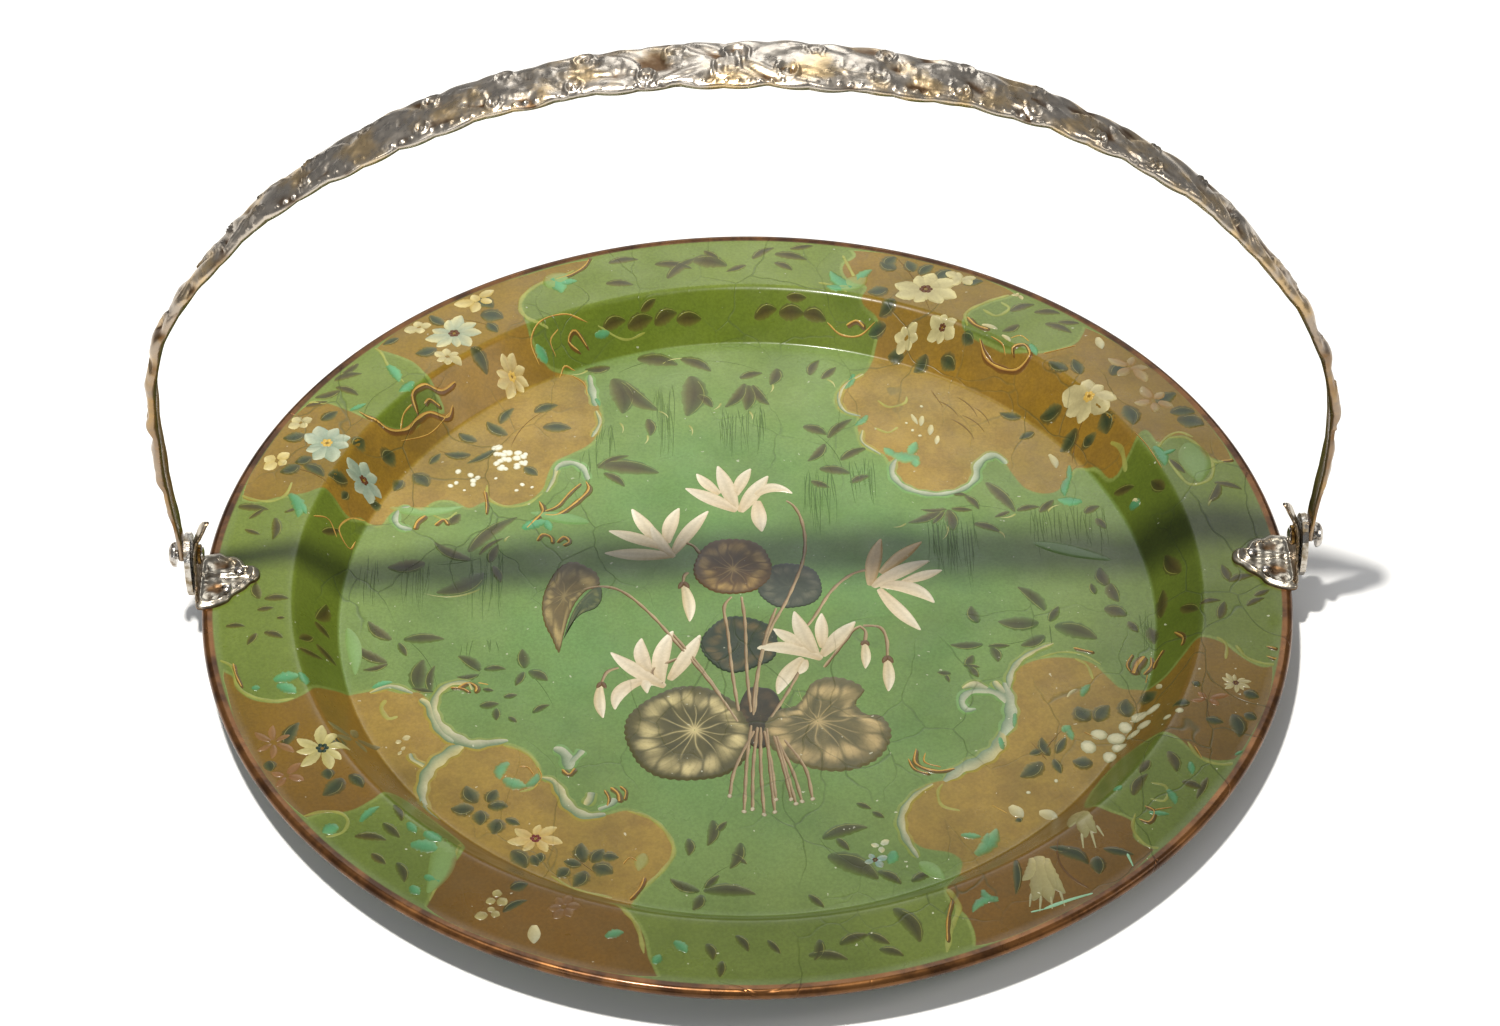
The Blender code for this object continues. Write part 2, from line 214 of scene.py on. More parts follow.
def even_path(points, count, closed=False):
    """The same curve with its points at equal distances along it."""
    fine = smooth_path(points, count * 8, closed)
    if closed:
        fine = np.concatenate([fine, fine[:1]])
    run = np.concatenate([[0], np.cumsum(np.linalg.norm(np.diff(fine, axis=0), axis=1))])
    at = np.linspace(0, run[-1], count, endpoint=not closed)
    return np.stack([np.interp(at, run, fine[:, k]) for k in range(fine.shape[1])], 1)


def bump(distance, radius):
    """A soft hill: (1 - (d/r)^2)^2 inside the radius and 0 outside."""
    return np.clip(1 - (distance / radius) ** 2, 0, 1) ** 2


def ease(low, high, value):
    """0 below low, 1 above high, and the smooth cubic 3p^2 - 2p^3 between."""
    part = np.clip((value - low) / (high - low), 0, 1)
    return part * part * (3 - 2 * part)


# %% [markdown]
# Materials come from one Principled shader each. A small helper adds nodes and links them, so that every
# finish below reads as a short recipe: where its pattern comes from, how it is coloured, how it shines.

# %% Material helpers
class Recipe:
    """A material with its node tree, and short calls that add a node and return its output."""

    def __init__(self, name, roughness, metallic=0.0, coat=0.0, coat_roughness=0.1, specular=0.5):
        self.material = bpy.data.materials.new(name)
        self.material.use_nodes = True
        self.tree = self.material.node_tree
        self.shader = self.tree.nodes["Principled BSDF"]
        self.shader.inputs["Roughness"].default_value = roughness
        self.shader.inputs["Metallic"].default_value = metallic
        self.shader.inputs["Coat Weight"].default_value = coat
        self.shader.inputs["Coat Roughness"].default_value = coat_roughness
        self.shader.inputs["Specular IOR Level"].default_value = specular

    def node(self, kind, inputs=None, **settings):
        """Adds a node; an input may be a number or another node's output."""
        node = self.tree.nodes.new(kind)
        for key, value in settings.items():
            setattr(node, key, value)
        for key, value in (inputs or {}).items():
            if isinstance(value, bpy.types.NodeSocket):
                self.tree.links.new(value, node.inputs[key])
            else:
                node.inputs[key].default_value = value
        return node

    def place(self, scale=(1.0, 1.0, 1.0)):
        """Object coordinates, which are metres in the shared frame, times a scale on each axis."""
        where = self.node("ShaderNodeTexCoord").outputs["Object"]
        return self.node("ShaderNodeMapping", {"Vector": where, "Scale": scale}).outputs["Vector"]

    def noise(self, scale, detail=3.0, roughness=0.55, stretch=(1.0, 1.0, 1.0)):
        """Cloudy noise about 0.5 with scale features to a metre."""
        inputs = {"Vector": self.place(stretch), "Scale": scale, "Detail": detail, "Roughness": roughness}
        return self.node("ShaderNodeTexNoise", inputs).outputs["Fac"]

    def cracks(self, scale, width, stretch=(1.0, 1.0, 1.0)):
        """1 on the borders of cells, 0 inside them, with wavering borders."""
        sway = self.node("ShaderNodeTexNoise", {"Vector": self.place(), "Scale": scale * 0.9, "Detail": 2.0})
        shift = self.scaled(sway.outputs["Color"], 0.6 / scale)
        moved = self.node("ShaderNodeVectorMath", {0: self.place(stretch), 1: shift}, operation="ADD").outputs[0]
        cell = self.node("ShaderNodeTexVoronoi", {"Vector": moved, "Scale": scale}, feature="DISTANCE_TO_EDGE")
        return self.ramp(cell.outputs["Distance"], 0.0, width, 1.0, 0.0)

    def scaled(self, vector, size):
        """A vector or colour times a number."""
        return self.node("ShaderNodeVectorMath", {0: vector, "Scale": size}, operation="SCALE").outputs[0]

    def ramp(self, value, low, high, at_low=0.0, at_high=1.0):
        """at_low below low, at_high above high, and a smooth step between."""
        inputs = {"Value": value, "From Min": low, "From Max": high, "To Min": at_low, "To Max": at_high}
        return self.node("ShaderNodeMapRange", inputs, interpolation_type="SMOOTHSTEP").outputs["Result"]

    def math(self, operation, first, second=0.0):
        """One sum of two numbers or outputs, such as ADD or MULTIPLY."""
        return self.node("ShaderNodeMath", {0: first, 1: second}, operation=operation).outputs[0]

    def blend(self, part, first, second, mode="MIX"):
        """Mixes two colours, which may be sockets or linear colours."""
        node = self.node("ShaderNodeMix", data_type="RGBA", blend_type=mode, clamp_factor=True)
        for socket, value in ((node.inputs["Factor"], part), (node.inputs[6], first), (node.inputs[7], second)):
            if isinstance(value, bpy.types.NodeSocket):
                self.tree.links.new(value, socket)
            elif np.ndim(value):
                socket.default_value = (*[float(v) for v in value], 1.0)
            else:
                socket.default_value = value
        return node.outputs[2]

    def radius(self):
        """Distance from the tray's upright middle line, in metres."""
        where = self.node("ShaderNodeTexCoord").outputs["Object"]
        flat = self.node("ShaderNodeVectorMath", {0: where, 1: (1.0, 1.0, 0.0)}, operation="MULTIPLY").outputs[0]
        return self.node("ShaderNodeVectorMath", {0: flat}, operation="LENGTH").outputs["Value"]

    def link(self, value, name):
        """Joins an output to an input of the shader."""
        self.tree.links.new(value, self.shader.inputs[name])

    def bump(self, height, depth, under=None):
        """A normal from a height of a depth in metres, on top of another normal."""
        inputs = {"Height": height, "Distance": depth, "Strength": 1.0}
        if under is not None:
            inputs["Normal"] = under
        return self.node("ShaderNodeBump", inputs).outputs["Normal"]


# %% [markdown]
# The pale floor is a plain matt sheet well below the object's colours, wide enough to fill the view.

# %% Floor
FLOOR_HALF = 4.0


def make_floor():
    """A flat square grid half a millimetre below the tray."""
    finish = Recipe("pale_floor", 0.9)
    tone = finish.noise(3.0, 2.0)
    finish.link(finish.blend(tone, (0.86, 0.86, 0.85), (0.9, 0.9, 0.89)), "Base Color")
    span = np.linspace(-FLOOR_HALF, FLOOR_HALF, 9)
    x, y = np.meshgrid(span, span)
    points = np.stack([x, y, np.full_like(x, cad_low.z - 0.0005)], -1).reshape(-1, 3)
    return add_mesh("floor", points, grid_faces(9, 9), finish.material, smooth=False)


make_floor()

# %% [markdown]
# ## The pan
# The pan is spun from one disc of sheet, so its whole shape is a profile turned about the middle: a flat well, a
# sloping wall with two small bends, a flat flange, and an edge curled over an iron wire. The profile is worked out
# from the same few radii as the CAD pan, with the rim's radius and height read from the pan's box.

# %% Profile of the sheet
pan_low, pan_high = (np.array(v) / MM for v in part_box("tray_pan"))
SHEET = 0.8
RIM_R = pan_high[0]
RIM_TOP = pan_high[2]
FLANGE_Z = 16.45
WELL_R, FLANGE_IN_R = 140.2, 154.6
BEAD_R = 1.95
BEND_LOW, BEND_HIGH = 2.6, 3.6
FLAT_STOP = 1.6
CURL_FROM, CURL_TO = 108, -168


def arc(centre, radius, start, end, count):
    """Points on an arc from one angle to another, in degrees."""
    angle = np.radians(np.linspace(start, end, count))
    return np.stack([centre[0] + radius * np.cos(angle), centre[1] + radius * np.sin(angle)], 1)


def between(first, last, count):
    """Points spaced evenly strictly inside the straight line from first to last."""
    part = np.linspace(0, 1, count + 2)[1:-1, None]
    return np.array(first) * (1 - part) + np.array(last) * part


def sheet_line():
    """The sheet's middle line outward from the well: two arcs that meet the flats smoothly, the wall
    between them, then the flange, then an arc over the wire that ends underneath. The second value is how
    many of its points lie before the curl."""
    low_z, high_z = SHEET / 2, FLANGE_Z - SHEET / 2
    slope = math.atan2(high_z - low_z, FLANGE_IN_R - WELL_R)
    rise = math.degrees(slope)
    low = arc((WELL_R - BEND_LOW * math.tan(slope / 2), low_z + BEND_LOW), BEND_LOW, -90, rise - 90, 9)
    high = arc((FLANGE_IN_R + BEND_HIGH * math.tan(slope / 2), high_z - BEND_HIGH), BEND_HIGH, 90 + rise, 90, 11)
    wall = between(low[-1], high[0], 8)
    bead = (RIM_R - BEAD_R, RIM_TOP - BEAD_R)
    flat = between(high[-1], (bead[0] - FLAT_STOP, high_z), 14)
    curl = arc(bead, BEAD_R - SHEET / 2, CURL_FROM, CURL_TO, 26)
    return np.concatenate([low, wall, high, flat, curl]), len(low) + len(wall) + len(high) + len(flat)


def beside(line, distance):
    """The line moved to its left by a distance, along the normal at each point."""
    along = np.gradient(line, axis=0)
    along /= np.linalg.norm(along, axis=1, keepdims=True)
    return line + distance * np.stack([-along[:, 1], along[:, 0]], 1)


middle, on_top = sheet_line()
upper = beside(middle, SHEET / 2)
lower = beside(middle, -SHEET / 2)
painted = np.concatenate([upper[:on_top], [[RIM_R - BEAD_R - 1.2, FLANGE_Z + 0.04], [RIM_R, FLANGE_Z + 0.1]]])


def ground(x, y):
    """Height of the pan's upper face over a point, in millimetres."""
    return np.interp(np.hypot(x, y), painted[:, 0], painted[:, 1], left=SHEET)


print("flange in", FLANGE_IN_R, "rim", round(float(RIM_R), 2), "depth", round(float(RIM_TOP), 2), "mm")

# %% [markdown]
# Four large ochre grounds run from the well over the wall to the rim, with wavy borders, and inside each one a green
# cartouche is left free against the rim. Every border is a closed curve through listed points, in millimetres from
# the middle of the tray (x to the right, y to the back). What the surface needs is how far each point lies inside the
# ochre, so that the paint edge stays crisp.

# %% Borders of the ochre grounds
OCHRE_BORDERS = {
    "back left": [
        (-54, 180), (-57, 168), (-65, 162), (-75, 157), (-80, 148), (-79, 140), (-76, 130), (-70, 124.5),
        (-62, 124), (-55, 118), (-51.5, 107), (-50.5, 96), (-54, 86), (-61, 80.5), (-67, 76.5), (-69.5, 70),
        (-71, 62), (-76, 56), (-84, 53.5), (-91, 56), (-97, 52.5), (-103, 56.5), (-109, 56.5), (-114, 52.5),
        (-120, 54.5), (-125, 50), (-128, 44.5), (-134, 46), (-139, 43), (-146, 48), (-153, 45), (-161, 43.5),
        (-170, 41), (-178, 44.5), (-190, 50), (-176, 90), (-150, 130), (-118, 160), (-84, 184),
    ],
    "back right": [
        (40, 186), (45, 172), (40, 166), (41, 158), (48, 153), (46, 146), (52, 140), (50, 131), (46, 122),
        (38, 115), (35, 107), (37, 101), (43, 98), (42, 91), (44, 82), (51, 77), (54, 68), (59, 60), (67, 57),
        (77, 58.5), (83, 66), (86, 73), (92, 75), (96, 66), (101, 57.5), (109, 55), (115, 60), (119, 68),
        (126, 66), (131, 58), (137, 63), (143, 71), (147, 63), (151, 66.5), (158, 66.5), (164, 56), (172, 53),
        (180, 58), (188, 60), (176, 90), (155, 125), (125, 155), (90, 178),
    ],
    "front left": [
        (-190, -44), (-180, -41), (-172, -44), (-170, -50), (-164, -55.5), (-155, -57), (-147, -53),
        (-143, -46), (-136, -40), (-130, -37.5), (-123, -36.5), (-117, -38.5), (-111, -38), (-107, -44),
        (-104, -53), (-98, -60), (-90, -63), (-82, -63), (-75, -66.5), (-71, -73), (-69, -79.5), (-64, -82),
        (-60, -91), (-54, -95.5), (-47, -95), (-41, -93.5), (-34, -97.5), (-28.5, -104), (-26.5, -112),
        (-30, -119.5), (-37, -128), (-42, -137), (-47, -143), (-42, -150), (-37, -158), (-35, -168),
        (-33, -190), (-80, -178), (-125, -150), (-160, -110), (-180, -70),
    ],
    "front right": [
        (188, -47), (177, -47), (170, -49), (163.5, -44), (157, -36.5), (150, -34), (145, -38), (138, -43.5),
        (130, -43), (124, -42), (120, -36), (115, -29.5), (106, -27), (96, -28.5), (90, -33), (88, -41),
        (88, -50), (86, -58), (83, -66), (76, -74.5), (67, -81.5), (58, -84), (51, -90), (47, -99), (49, -107),
        (54, -112.5), (62, -114.5), (66, -119), (63, -128), (60, -138), (59, -147), (65, -157), (66, -168),
        (62, -190), (105, -170), (140, -140), (165, -105), (182, -75),
    ],
}
GREEN_BORDERS = [
    [(-162, 122), (-148, 122), (-139, 125), (-130, 121), (-119, 115), (-113, 107), (-107, 98.5), (-112, 94.5),
      (-120, 85), (-130, 82), (-140, 88), (-150, 93), (-160, 92), (-171, 88), (-178, 96)],
    [(100, 160), (104, 149), (93, 143), (85, 137.5), (82, 130), (89, 123), (99, 116), (110, 113.5), (122, 118),
      (127, 127), (127, 134), (136, 138), (120, 160)],
    [(-152, -112), (-144, -108.5), (-138, -106.5), (-130, -106), (-122, -100.5), (-116, -94), (-108, -97),
      (-100, -105), (-94, -114), (-93, -123), (-97, -131), (-101, -139), (-104, -147), (-110, -158), (-140,
      -135)],
    [(168, -84), (157, -90), (148, -90.5), (142, -86), (137, -79), (130, -76.5), (121, -78.5), (114, -85), (108,
      -96), (106, -106), (112, -112), (119.5, -116.5), (119.5, -124), (125, -129), (133, -130), (146, -132)],
]


def border_distance(x, y, border):
    """Distance from points to a closed border, positive inside: the nearest of its short straight parts,
    with the side found from how often a level line from the point crosses the border."""
    a = smooth_path(border, 260, closed=True)
    b = np.roll(a, -1, axis=0)
    span = b - a
    nearest = np.full(x.shape, 1e9)
    crossings = np.zeros(x.shape, int)
    for (ax, ay), (bx, by), (sx, sy) in zip(a, b, span):
        part = np.clip(((x - ax) * sx + (y - ay) * sy) / (sx * sx + sy * sy), 0, 1)
        nearest = np.minimum(nearest, (x - ax - part * sx) ** 2 + (y - ay - part * sy) ** 2)
        crossings += ((ay > y) != (by > y)) & (x < ax + (y - ay) / (sy if sy else 1.0) * sx)
    return np.sqrt(nearest) * np.where(crossings % 2, 1.0, -1.0)


def ochre_depth(x, y):
    """How far a point lies inside the ochre paint: inside an ochre border and outside every green one."""
    ochre = np.max([border_distance(x, y, border) for border in OCHRE_BORDERS.values()], axis=0)
    green = np.max([border_distance(x, y, border) for border in GREEN_BORDERS], axis=0)
    return np.minimum(ochre, -green)


# %% [markdown]
# The painted colours are first laid out as plain numbers, so that both the ground and the brush strokes
# can use them: cool green in the well, olive on the wall, and yellow-green on the flange; golden ochre in
# the well, a deeper amber on the wall, and brown towards the front of the flange.

# %% Ground colours
WALL_FROM, WALL_FULL = WELL_R - 0.6, WELL_R + 0.6
FLANGE_FROM, FLANGE_FULL = FLANGE_IN_R - 0.4, FLANGE_IN_R + 0.8
BRONZE_FROM, BRONZE_FULL = 180.8, 181.6
WELL_GREEN = srgb(98, 136, 70)
WELL_EDGE = srgb(116, 140, 72)
WALL_GREEN = srgb(100, 116, 34)
FLANGE_GREEN = srgb(112, 128, 52)
WELL_OCHRE = srgb(158, 130, 54)
WALL_OCHRE = srgb(146, 112, 34)
FLANGE_OCHRE = srgb(138, 110, 26)
FRONT_OCHRE = srgb(118, 84, 20)
BORDER_GREEN = srgb(142, 156, 80)
SHADE_GREEN = srgb(84, 104, 50)
BRONZE = srgb(112, 74, 38)
BRONZE_DARK = srgb(62, 38, 18)


def mix(part, first, second):
    """The first colour where part is 0, the second where it is 1, and a straight blend between."""
    part = np.asarray(part)[..., None]
    return np.asarray(first) * (1 - part) + np.asarray(second) * part


def ground_colour(x, y, ochre):
    """Mean colour of the ground at each point, given its depth inside the ochre."""
    r = np.hypot(x, y)
    well = ease(WALL_FROM, WALL_FULL, r)
    flange = ease(FLANGE_FROM, FLANGE_FULL, r)
    front = ease(20, -150, y)
    green = mix(ease(60, 138, r), WELL_GREEN, WELL_EDGE)
    green = mix(flange, mix(well, green, WALL_GREEN), FLANGE_GREEN)
    tan = mix(flange, mix(well, WELL_OCHRE, WALL_OCHRE), mix(front, FLANGE_OCHRE, FRONT_OCHRE))
    tan = mix(well * (1 - flange) * front * 0.75, tan, FRONT_OCHRE)
    return mix(ease(-0.3, 0.3, ochre), green, tan)


def lacquered(name, roughness=0.34):
    """A lacquered paint finish whose coat is the same everywhere."""
    return Recipe(name, roughness, coat=0.16, coat_roughness=0.12, specular=0.22)


def age_and_shade(finish, colour, strength=1.0):
    """Adds age and painted shade to a painted colour: cloudy mottling, brushed grain, fine dark cracks and pinprick
    wear, and painted shade, as of light from the back left, that darkens it towards the front and the right."""
    cloud = finish.noise(22.0, 5.0, 0.6)
    colour = finish.blend(finish.ramp(cloud, 0.35, 0.7, 0.0, 0.34 * strength), colour, SHADE_GREEN * 2.2, "MULTIPLY")
    grain = finish.noise(900.0, 2.0, 0.7)
    colour = finish.blend(finish.ramp(grain, 0.3, 0.7, 0.0, 0.3 * strength), colour, (0.42, 0.4, 0.3), "MULTIPLY")
    cracks = finish.cracks(46.0, 0.016, (1.0, 0.62, 1.0))
    cracks = finish.math("MULTIPLY", cracks, finish.ramp(finish.noise(9.0, 3.0), 0.45, 0.62))
    colour = finish.blend(finish.math("MULTIPLY", cracks, 0.5 * strength), colour, (0.05, 0.07, 0.03))
    where = finish.node("ShaderNodeSeparateXYZ", {"Vector": finish.node("ShaderNodeTexCoord").outputs["Object"]})
    # painted shade: the colour grows darker towards the front and the right, as if the light came from the back left
    shade_to_front = finish.ramp(where.outputs["Y"], -0.19, 0.10, 0.58, 1.0)
    shade_to_right = finish.ramp(where.outputs["X"], 0.06, 0.17, 1.0, 0.64)
    colour = finish.scaled(colour, finish.math("MULTIPLY", shade_to_front, shade_to_right))
    specks = finish.ramp(finish.noise(420.0, 2.0, 0.5), 0.74, 0.77)
    colour = finish.blend(finish.math("MULTIPLY", specks, 0.5), colour, (0.5, 0.5, 0.38))
    normal = finish.bump(finish.noise(160.0, 3.0, 0.6, (1.0, 0.25, 1.0)), 0.00010)
    normal = finish.bump(finish.math("MULTIPLY", cracks, -1.0), 0.00010, normal)
    finish.link(normal, "Normal")
    finish.link(finish.ramp(finish.noise(60.0, 4.0), 0.3, 0.75, 0.26, 0.44), "Roughness")
    return colour


def make_ground_finish():
    """The ground. In the point colour, red is the depth inside the ochre (0.5 at its border and 0.05 more
    for each millimetre), blue is how far to the front a point lies, and green isn't used."""
    finish = lacquered("painted_ground")
    layer = finish.node("ShaderNodeVertexColor", layer_name="paint").outputs["Color"]
    split = finish.node("ShaderNodeSeparateColor", {"Color": layer})
    radius = finish.radius()
    well = finish.ramp(radius, WALL_FROM * MM, WALL_FULL * MM)
    flange = finish.ramp(radius, FLANGE_FROM * MM, FLANGE_FULL * MM)
    patch = finish.ramp(finish.noise(13.0, 4.0, 0.6), 0.3, 0.7)
    green = finish.blend(finish.ramp(radius, 0.06, 0.138), WELL_GREEN, WELL_EDGE)
    green = finish.blend(finish.math("MULTIPLY", patch, 0.45), green, srgb(118, 132, 62))
    green = finish.blend(well, green, WALL_GREEN)
    green = finish.blend(flange, green, FLANGE_GREEN)
    front = split.outputs["Blue"]
    fleck = finish.ramp(finish.noise(75.0, 5.0, 0.7), 0.35, 0.7)
    tan = finish.blend(well, WELL_OCHRE, finish.blend(finish.math("MULTIPLY", front, 0.75), WALL_OCHRE, FRONT_OCHRE))
    tan = finish.blend(flange, tan, finish.blend(front, FLANGE_OCHRE, FRONT_OCHRE))
    tan = finish.blend(finish.math("MULTIPLY", fleck, 0.45), tan, srgb(116, 88, 38))
    sway = finish.math("MULTIPLY", finish.math("SUBTRACT", finish.noise(95.0, 3.0), 0.5), 0.055)
    depth = finish.math("ADD", split.outputs["Red"], sway)
    colour = finish.blend(finish.ramp(depth, 0.48, 0.52), green, tan)
    line = finish.math("MULTIPLY", finish.ramp(depth, 0.425, 0.47), finish.ramp(depth, 0.485, 0.52, 1.0, 0.0))
    line = finish.math("MULTIPLY", line, finish.ramp(finish.noise(40.0, 2.0), 0.3, 0.6, 0.15, 0.75))
    colour = finish.blend(line, colour, BORDER_GREEN)
    # age, and painted shade towards the front and the right
    colour = age_and_shade(finish, colour)
    rim = finish.ramp(radius, BRONZE_FROM * MM, BRONZE_FULL * MM)
    rub = finish.ramp(finish.noise(70.0, 4.0, 0.65), 0.35, 0.65)
    bronze = finish.blend(rub, BRONZE, BRONZE_DARK)
    finish.link(finish.blend(rim, colour, bronze), "Base Color")
    finish.link(finish.math("MULTIPLY", rim, 0.7), "Metallic")
    return finish.material


GROUND = make_ground_finish()
AROUND = 500
UNDER_ROWS = [40, 20, 0]


def make_pan():
    """The whole sheet, from the middle of its upper face round the curl to the middle underneath, where
    three rings at height 0 are enough."""
    rings = np.concatenate([[3.0, 20.0, 34.0, 44.0], np.linspace(50, 137.5, 50)])
    inner = np.stack([rings, np.full_like(rings, SHEET)], 1)
    line = np.concatenate([inner, upper, lower[::-1], inner[UNDER_ROWS] * [1, 0]])
    angle = np.linspace(0, 2 * np.pi, AROUND, endpoint=False)
    x, y = line[:, :1] * np.cos(angle), line[:, :1] * np.sin(angle)
    z = np.broadcast_to(line[:, 1:], x.shape)
    top = len(inner) + on_top
    depth = np.full(x.shape, -9.0)
    depth[:top] = ochre_depth(x[:top], y[:top])
    tone = np.stack([np.clip(0.5 + 0.05 * depth, 0, 1), 0 * x, ease(20, -150, y)], -1)
    points = np.stack([x, y, z], -1).reshape(-1, 3) * MM
    quads = grid_faces(len(line), AROUND, close_cols=True, turn=True)
    first = np.arange(AROUND)
    last = (len(line) - 1) * AROUND + first
    pan = add_mesh("painted_pan", points, quads, GROUND, tone.reshape(-1, 3), caps=[first, last[::-1]])
    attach(pan, "tray")
    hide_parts("tray_pan")


make_pan()

# %% [markdown]
# ## The handle
# The handle is one casting: a band that is broad and crowded with leaves, scrolls and beads over the
# hand, and thins to two twig-like legs. The metal is silvered brass, a pinkish grey that has worn to warm
# gold on the crests and gone brown in the deepest hollows and underneath.

# %% Silvered casting finish
SILVER = srgb(196, 186, 172)
SILVER_WARM = srgb(224, 196, 150)
HOLLOW = srgb(104, 80, 56)
BARE_METAL = srgb(128, 92, 44)


def make_casting_finish(name, silver=SILVER, warm=SILVER_WARM, grime=0.36):
    """Silvered brass. In the point colour, red is how high a point lies in the relief, and green is 1
    where the metal was never silvered."""
    finish = Recipe(name, 0.24, metallic=1.0)
    layer = finish.node("ShaderNodeVertexColor", layer_name="paint").outputs["Color"]
    split = finish.node("ShaderNodeSeparateColor", {"Color": layer})
    stain = finish.noise(300.0, 4.0, 0.6)
    skin = finish.blend(finish.ramp(finish.noise(70.0, 4.0, 0.6), 0.45, 0.66), silver, warm)
    spot = finish.math("MULTIPLY", finish.math("SUBTRACT", stain, 0.5), 0.3)
    low = finish.ramp(finish.math("ADD", split.outputs["Red"], spot), 0.02, grime, 1.0, 0.0)
    colour = finish.blend(low, skin, HOLLOW)
    bare = finish.blend(finish.ramp(stain, 0.3, 0.7), BARE_METAL, HOLLOW)
    colour = finish.blend(split.outputs["Green"], colour, bare)
    finish.link(colour, "Base Color")
    rough = finish.math("ADD", finish.ramp(stain, 0.3, 0.7, 0.24, 0.38), finish.math("MULTIPLY", low, 0.15))
    finish.link(rough, "Roughness")
    normal = finish.bump(finish.noise(640.0, 3.0, 0.6), 0.00010)
    finish.link(finish.bump(finish.noise(190.0, 3.0, 0.6), 0.00012, normal), "Normal")
    return finish.material


CASTING = make_casting_finish("silvered_casting")
LEAF_CASTING = make_casting_finish("worn_leaf_casting", srgb(184, 176, 160), srgb(158, 140, 108), grime=0.42)

# %% [markdown]
# The arch follows the same points as the CAD arch. Its width and thickness are read from a short table by height, and
# cusps along the edges stand for the leaf tips that break the outline.

# %% Line of the arch
PIVOT_Z = frame["joints"][0]["pos_m"][2] / MM
ARCH_HALF = np.array([
    (190.9, 0.0), (190.9, 6.5), (191.9, 17.0), (193.5, 32.0), (193.9, 48.0), (193.0, 64.0), (189.5, 82.0),
    (181.2, 103.0), (166.6, 124.5), (148.0, 146.5), (125.0, 164.3), (100.0, 178.9), (75.0, 189.4),
    (46.0, 196.3), (20.0, 199.4), (0.0, 200.0),
])
LEAN, LEAN_FROM, LEAN_TO = 3.8, 45.0, 105.0
BAND_HEIGHT = [0.0, 6.5, 14.0, 30.0, 60.0, 90.0, 120.0, 145.0, 165.0, 180.0, 201.0]
BAND_WIDTH = [7.4, 7.4, 7.2, 7.6, 7.2, 8.0, 10.8, 15.0, 17.8, 20.2, 22.0]
BAND_THICK = [2.8, 2.8, 3.4, 4.6, 5.0, 4.8, 4.4, 4.2, 4.2, 4.2, 4.2]
ALONG, ACROSS = 1500, 60


def arch_line(count):
    """Even points from the left pivot over the top to the right one, with the lean of the CAD arch."""
    half = np.concatenate([ARCH_HALF * [-1, 1], ARCH_HALF[-2::-1]])
    half = half - np.stack([LEAN * ease(LEAN_FROM, LEAN_TO, half[:, 1]), np.zeros(len(half))], 1)
    return even_path(half, count)


line = arch_line(ALONG)
ahead = np.gradient(line, axis=0)
ahead /= np.linalg.norm(ahead, axis=1, keepdims=True)
outward = np.stack([-ahead[:, 1], ahead[:, 0]], 1)
run = np.concatenate([[0], np.cumsum(np.linalg.norm(np.diff(line, axis=0), axis=1))])
run -= run[-1] / 2
half_width = np.interp(line[:, 1], BAND_HEIGHT, BAND_WIDTH) / 2
thick = np.interp(line[:, 1], BAND_HEIGHT, BAND_THICK)
print("arch length", round(float(run[-1] * 2)), "mm")

# %% [markdown]
# The relief is the highest of a bed of soft swirling lumps and a set of placed motifs, in the flat space
# of the band: s is the distance along the arch from its top and v the distance across. A leaf is a
# pointed hump with a groove and ribs, a scroll is a ring ridge round a button, and beads are hills.

# %% Relief motifs
def swirl_bed(s, v):
    """Lumps a few millimetres across on lines that bend: products of sines whose arguments sway."""
    a = s / 4.1 + 1.5 * np.sin(v / 4.4 + s / 13.0) + 0.8 * np.sin(s / 9.1)
    b = v / 2.9 + 1.3 * np.sin(s / 7.9 + v / 5.7)
    c = (s + 1.6 * v) / 2.9 + 1.1 * np.sin(s / 5.3)
    return 0.40 + 0.36 * np.sin(a) * np.cos(b) + 0.14 * np.sin(c) * np.cos(v / 2.2 + s / 4.1)


def leaf_relief(s, v, s0, v0, angle, length, width):
    """A hump over a pointed outline that bows to one side, with a groove down it and ribs across."""
    a = math.radians(angle)
    along = ((s - s0) * math.cos(a) + (v - v0) * math.sin(a)) / length
    side = -(s - s0) * math.sin(a) + (v - v0) * math.cos(a)
    side = side - 0.12 * length * np.sin(np.pi * np.clip(along, 0, 1)) * np.sign(angle)
    reach = width * np.sin(np.pi * np.clip(along, 0.001, 0.999) ** 0.75)
    part = np.clip(1 - (side / np.maximum(reach, 0.05)) ** 2, 0, 1) * ((along > 0) & (along < 1))
    groove = 0.28 * np.exp(-((side / 0.6) ** 2))
    ribs = 0.07 * np.cos(along * 20 - np.abs(side) * 1.5)
    return np.sqrt(part) * (1 - groove + ribs) * (0.72 + 0.28 * np.clip(along, 0, 1))


def scroll_relief(s, v, s0, v0, radius):
    """A ring ridge that winds in to a round button."""
    r = np.hypot(s - s0, v - v0)
    turn = np.arctan2(v - v0, s - s0)
    ring = np.exp(-(((r - radius * (0.82 + 0.1 * turn / np.pi)) / (0.2 * radius)) ** 2))
    return 0.95 * np.maximum(ring, bump(r, radius * 0.45))


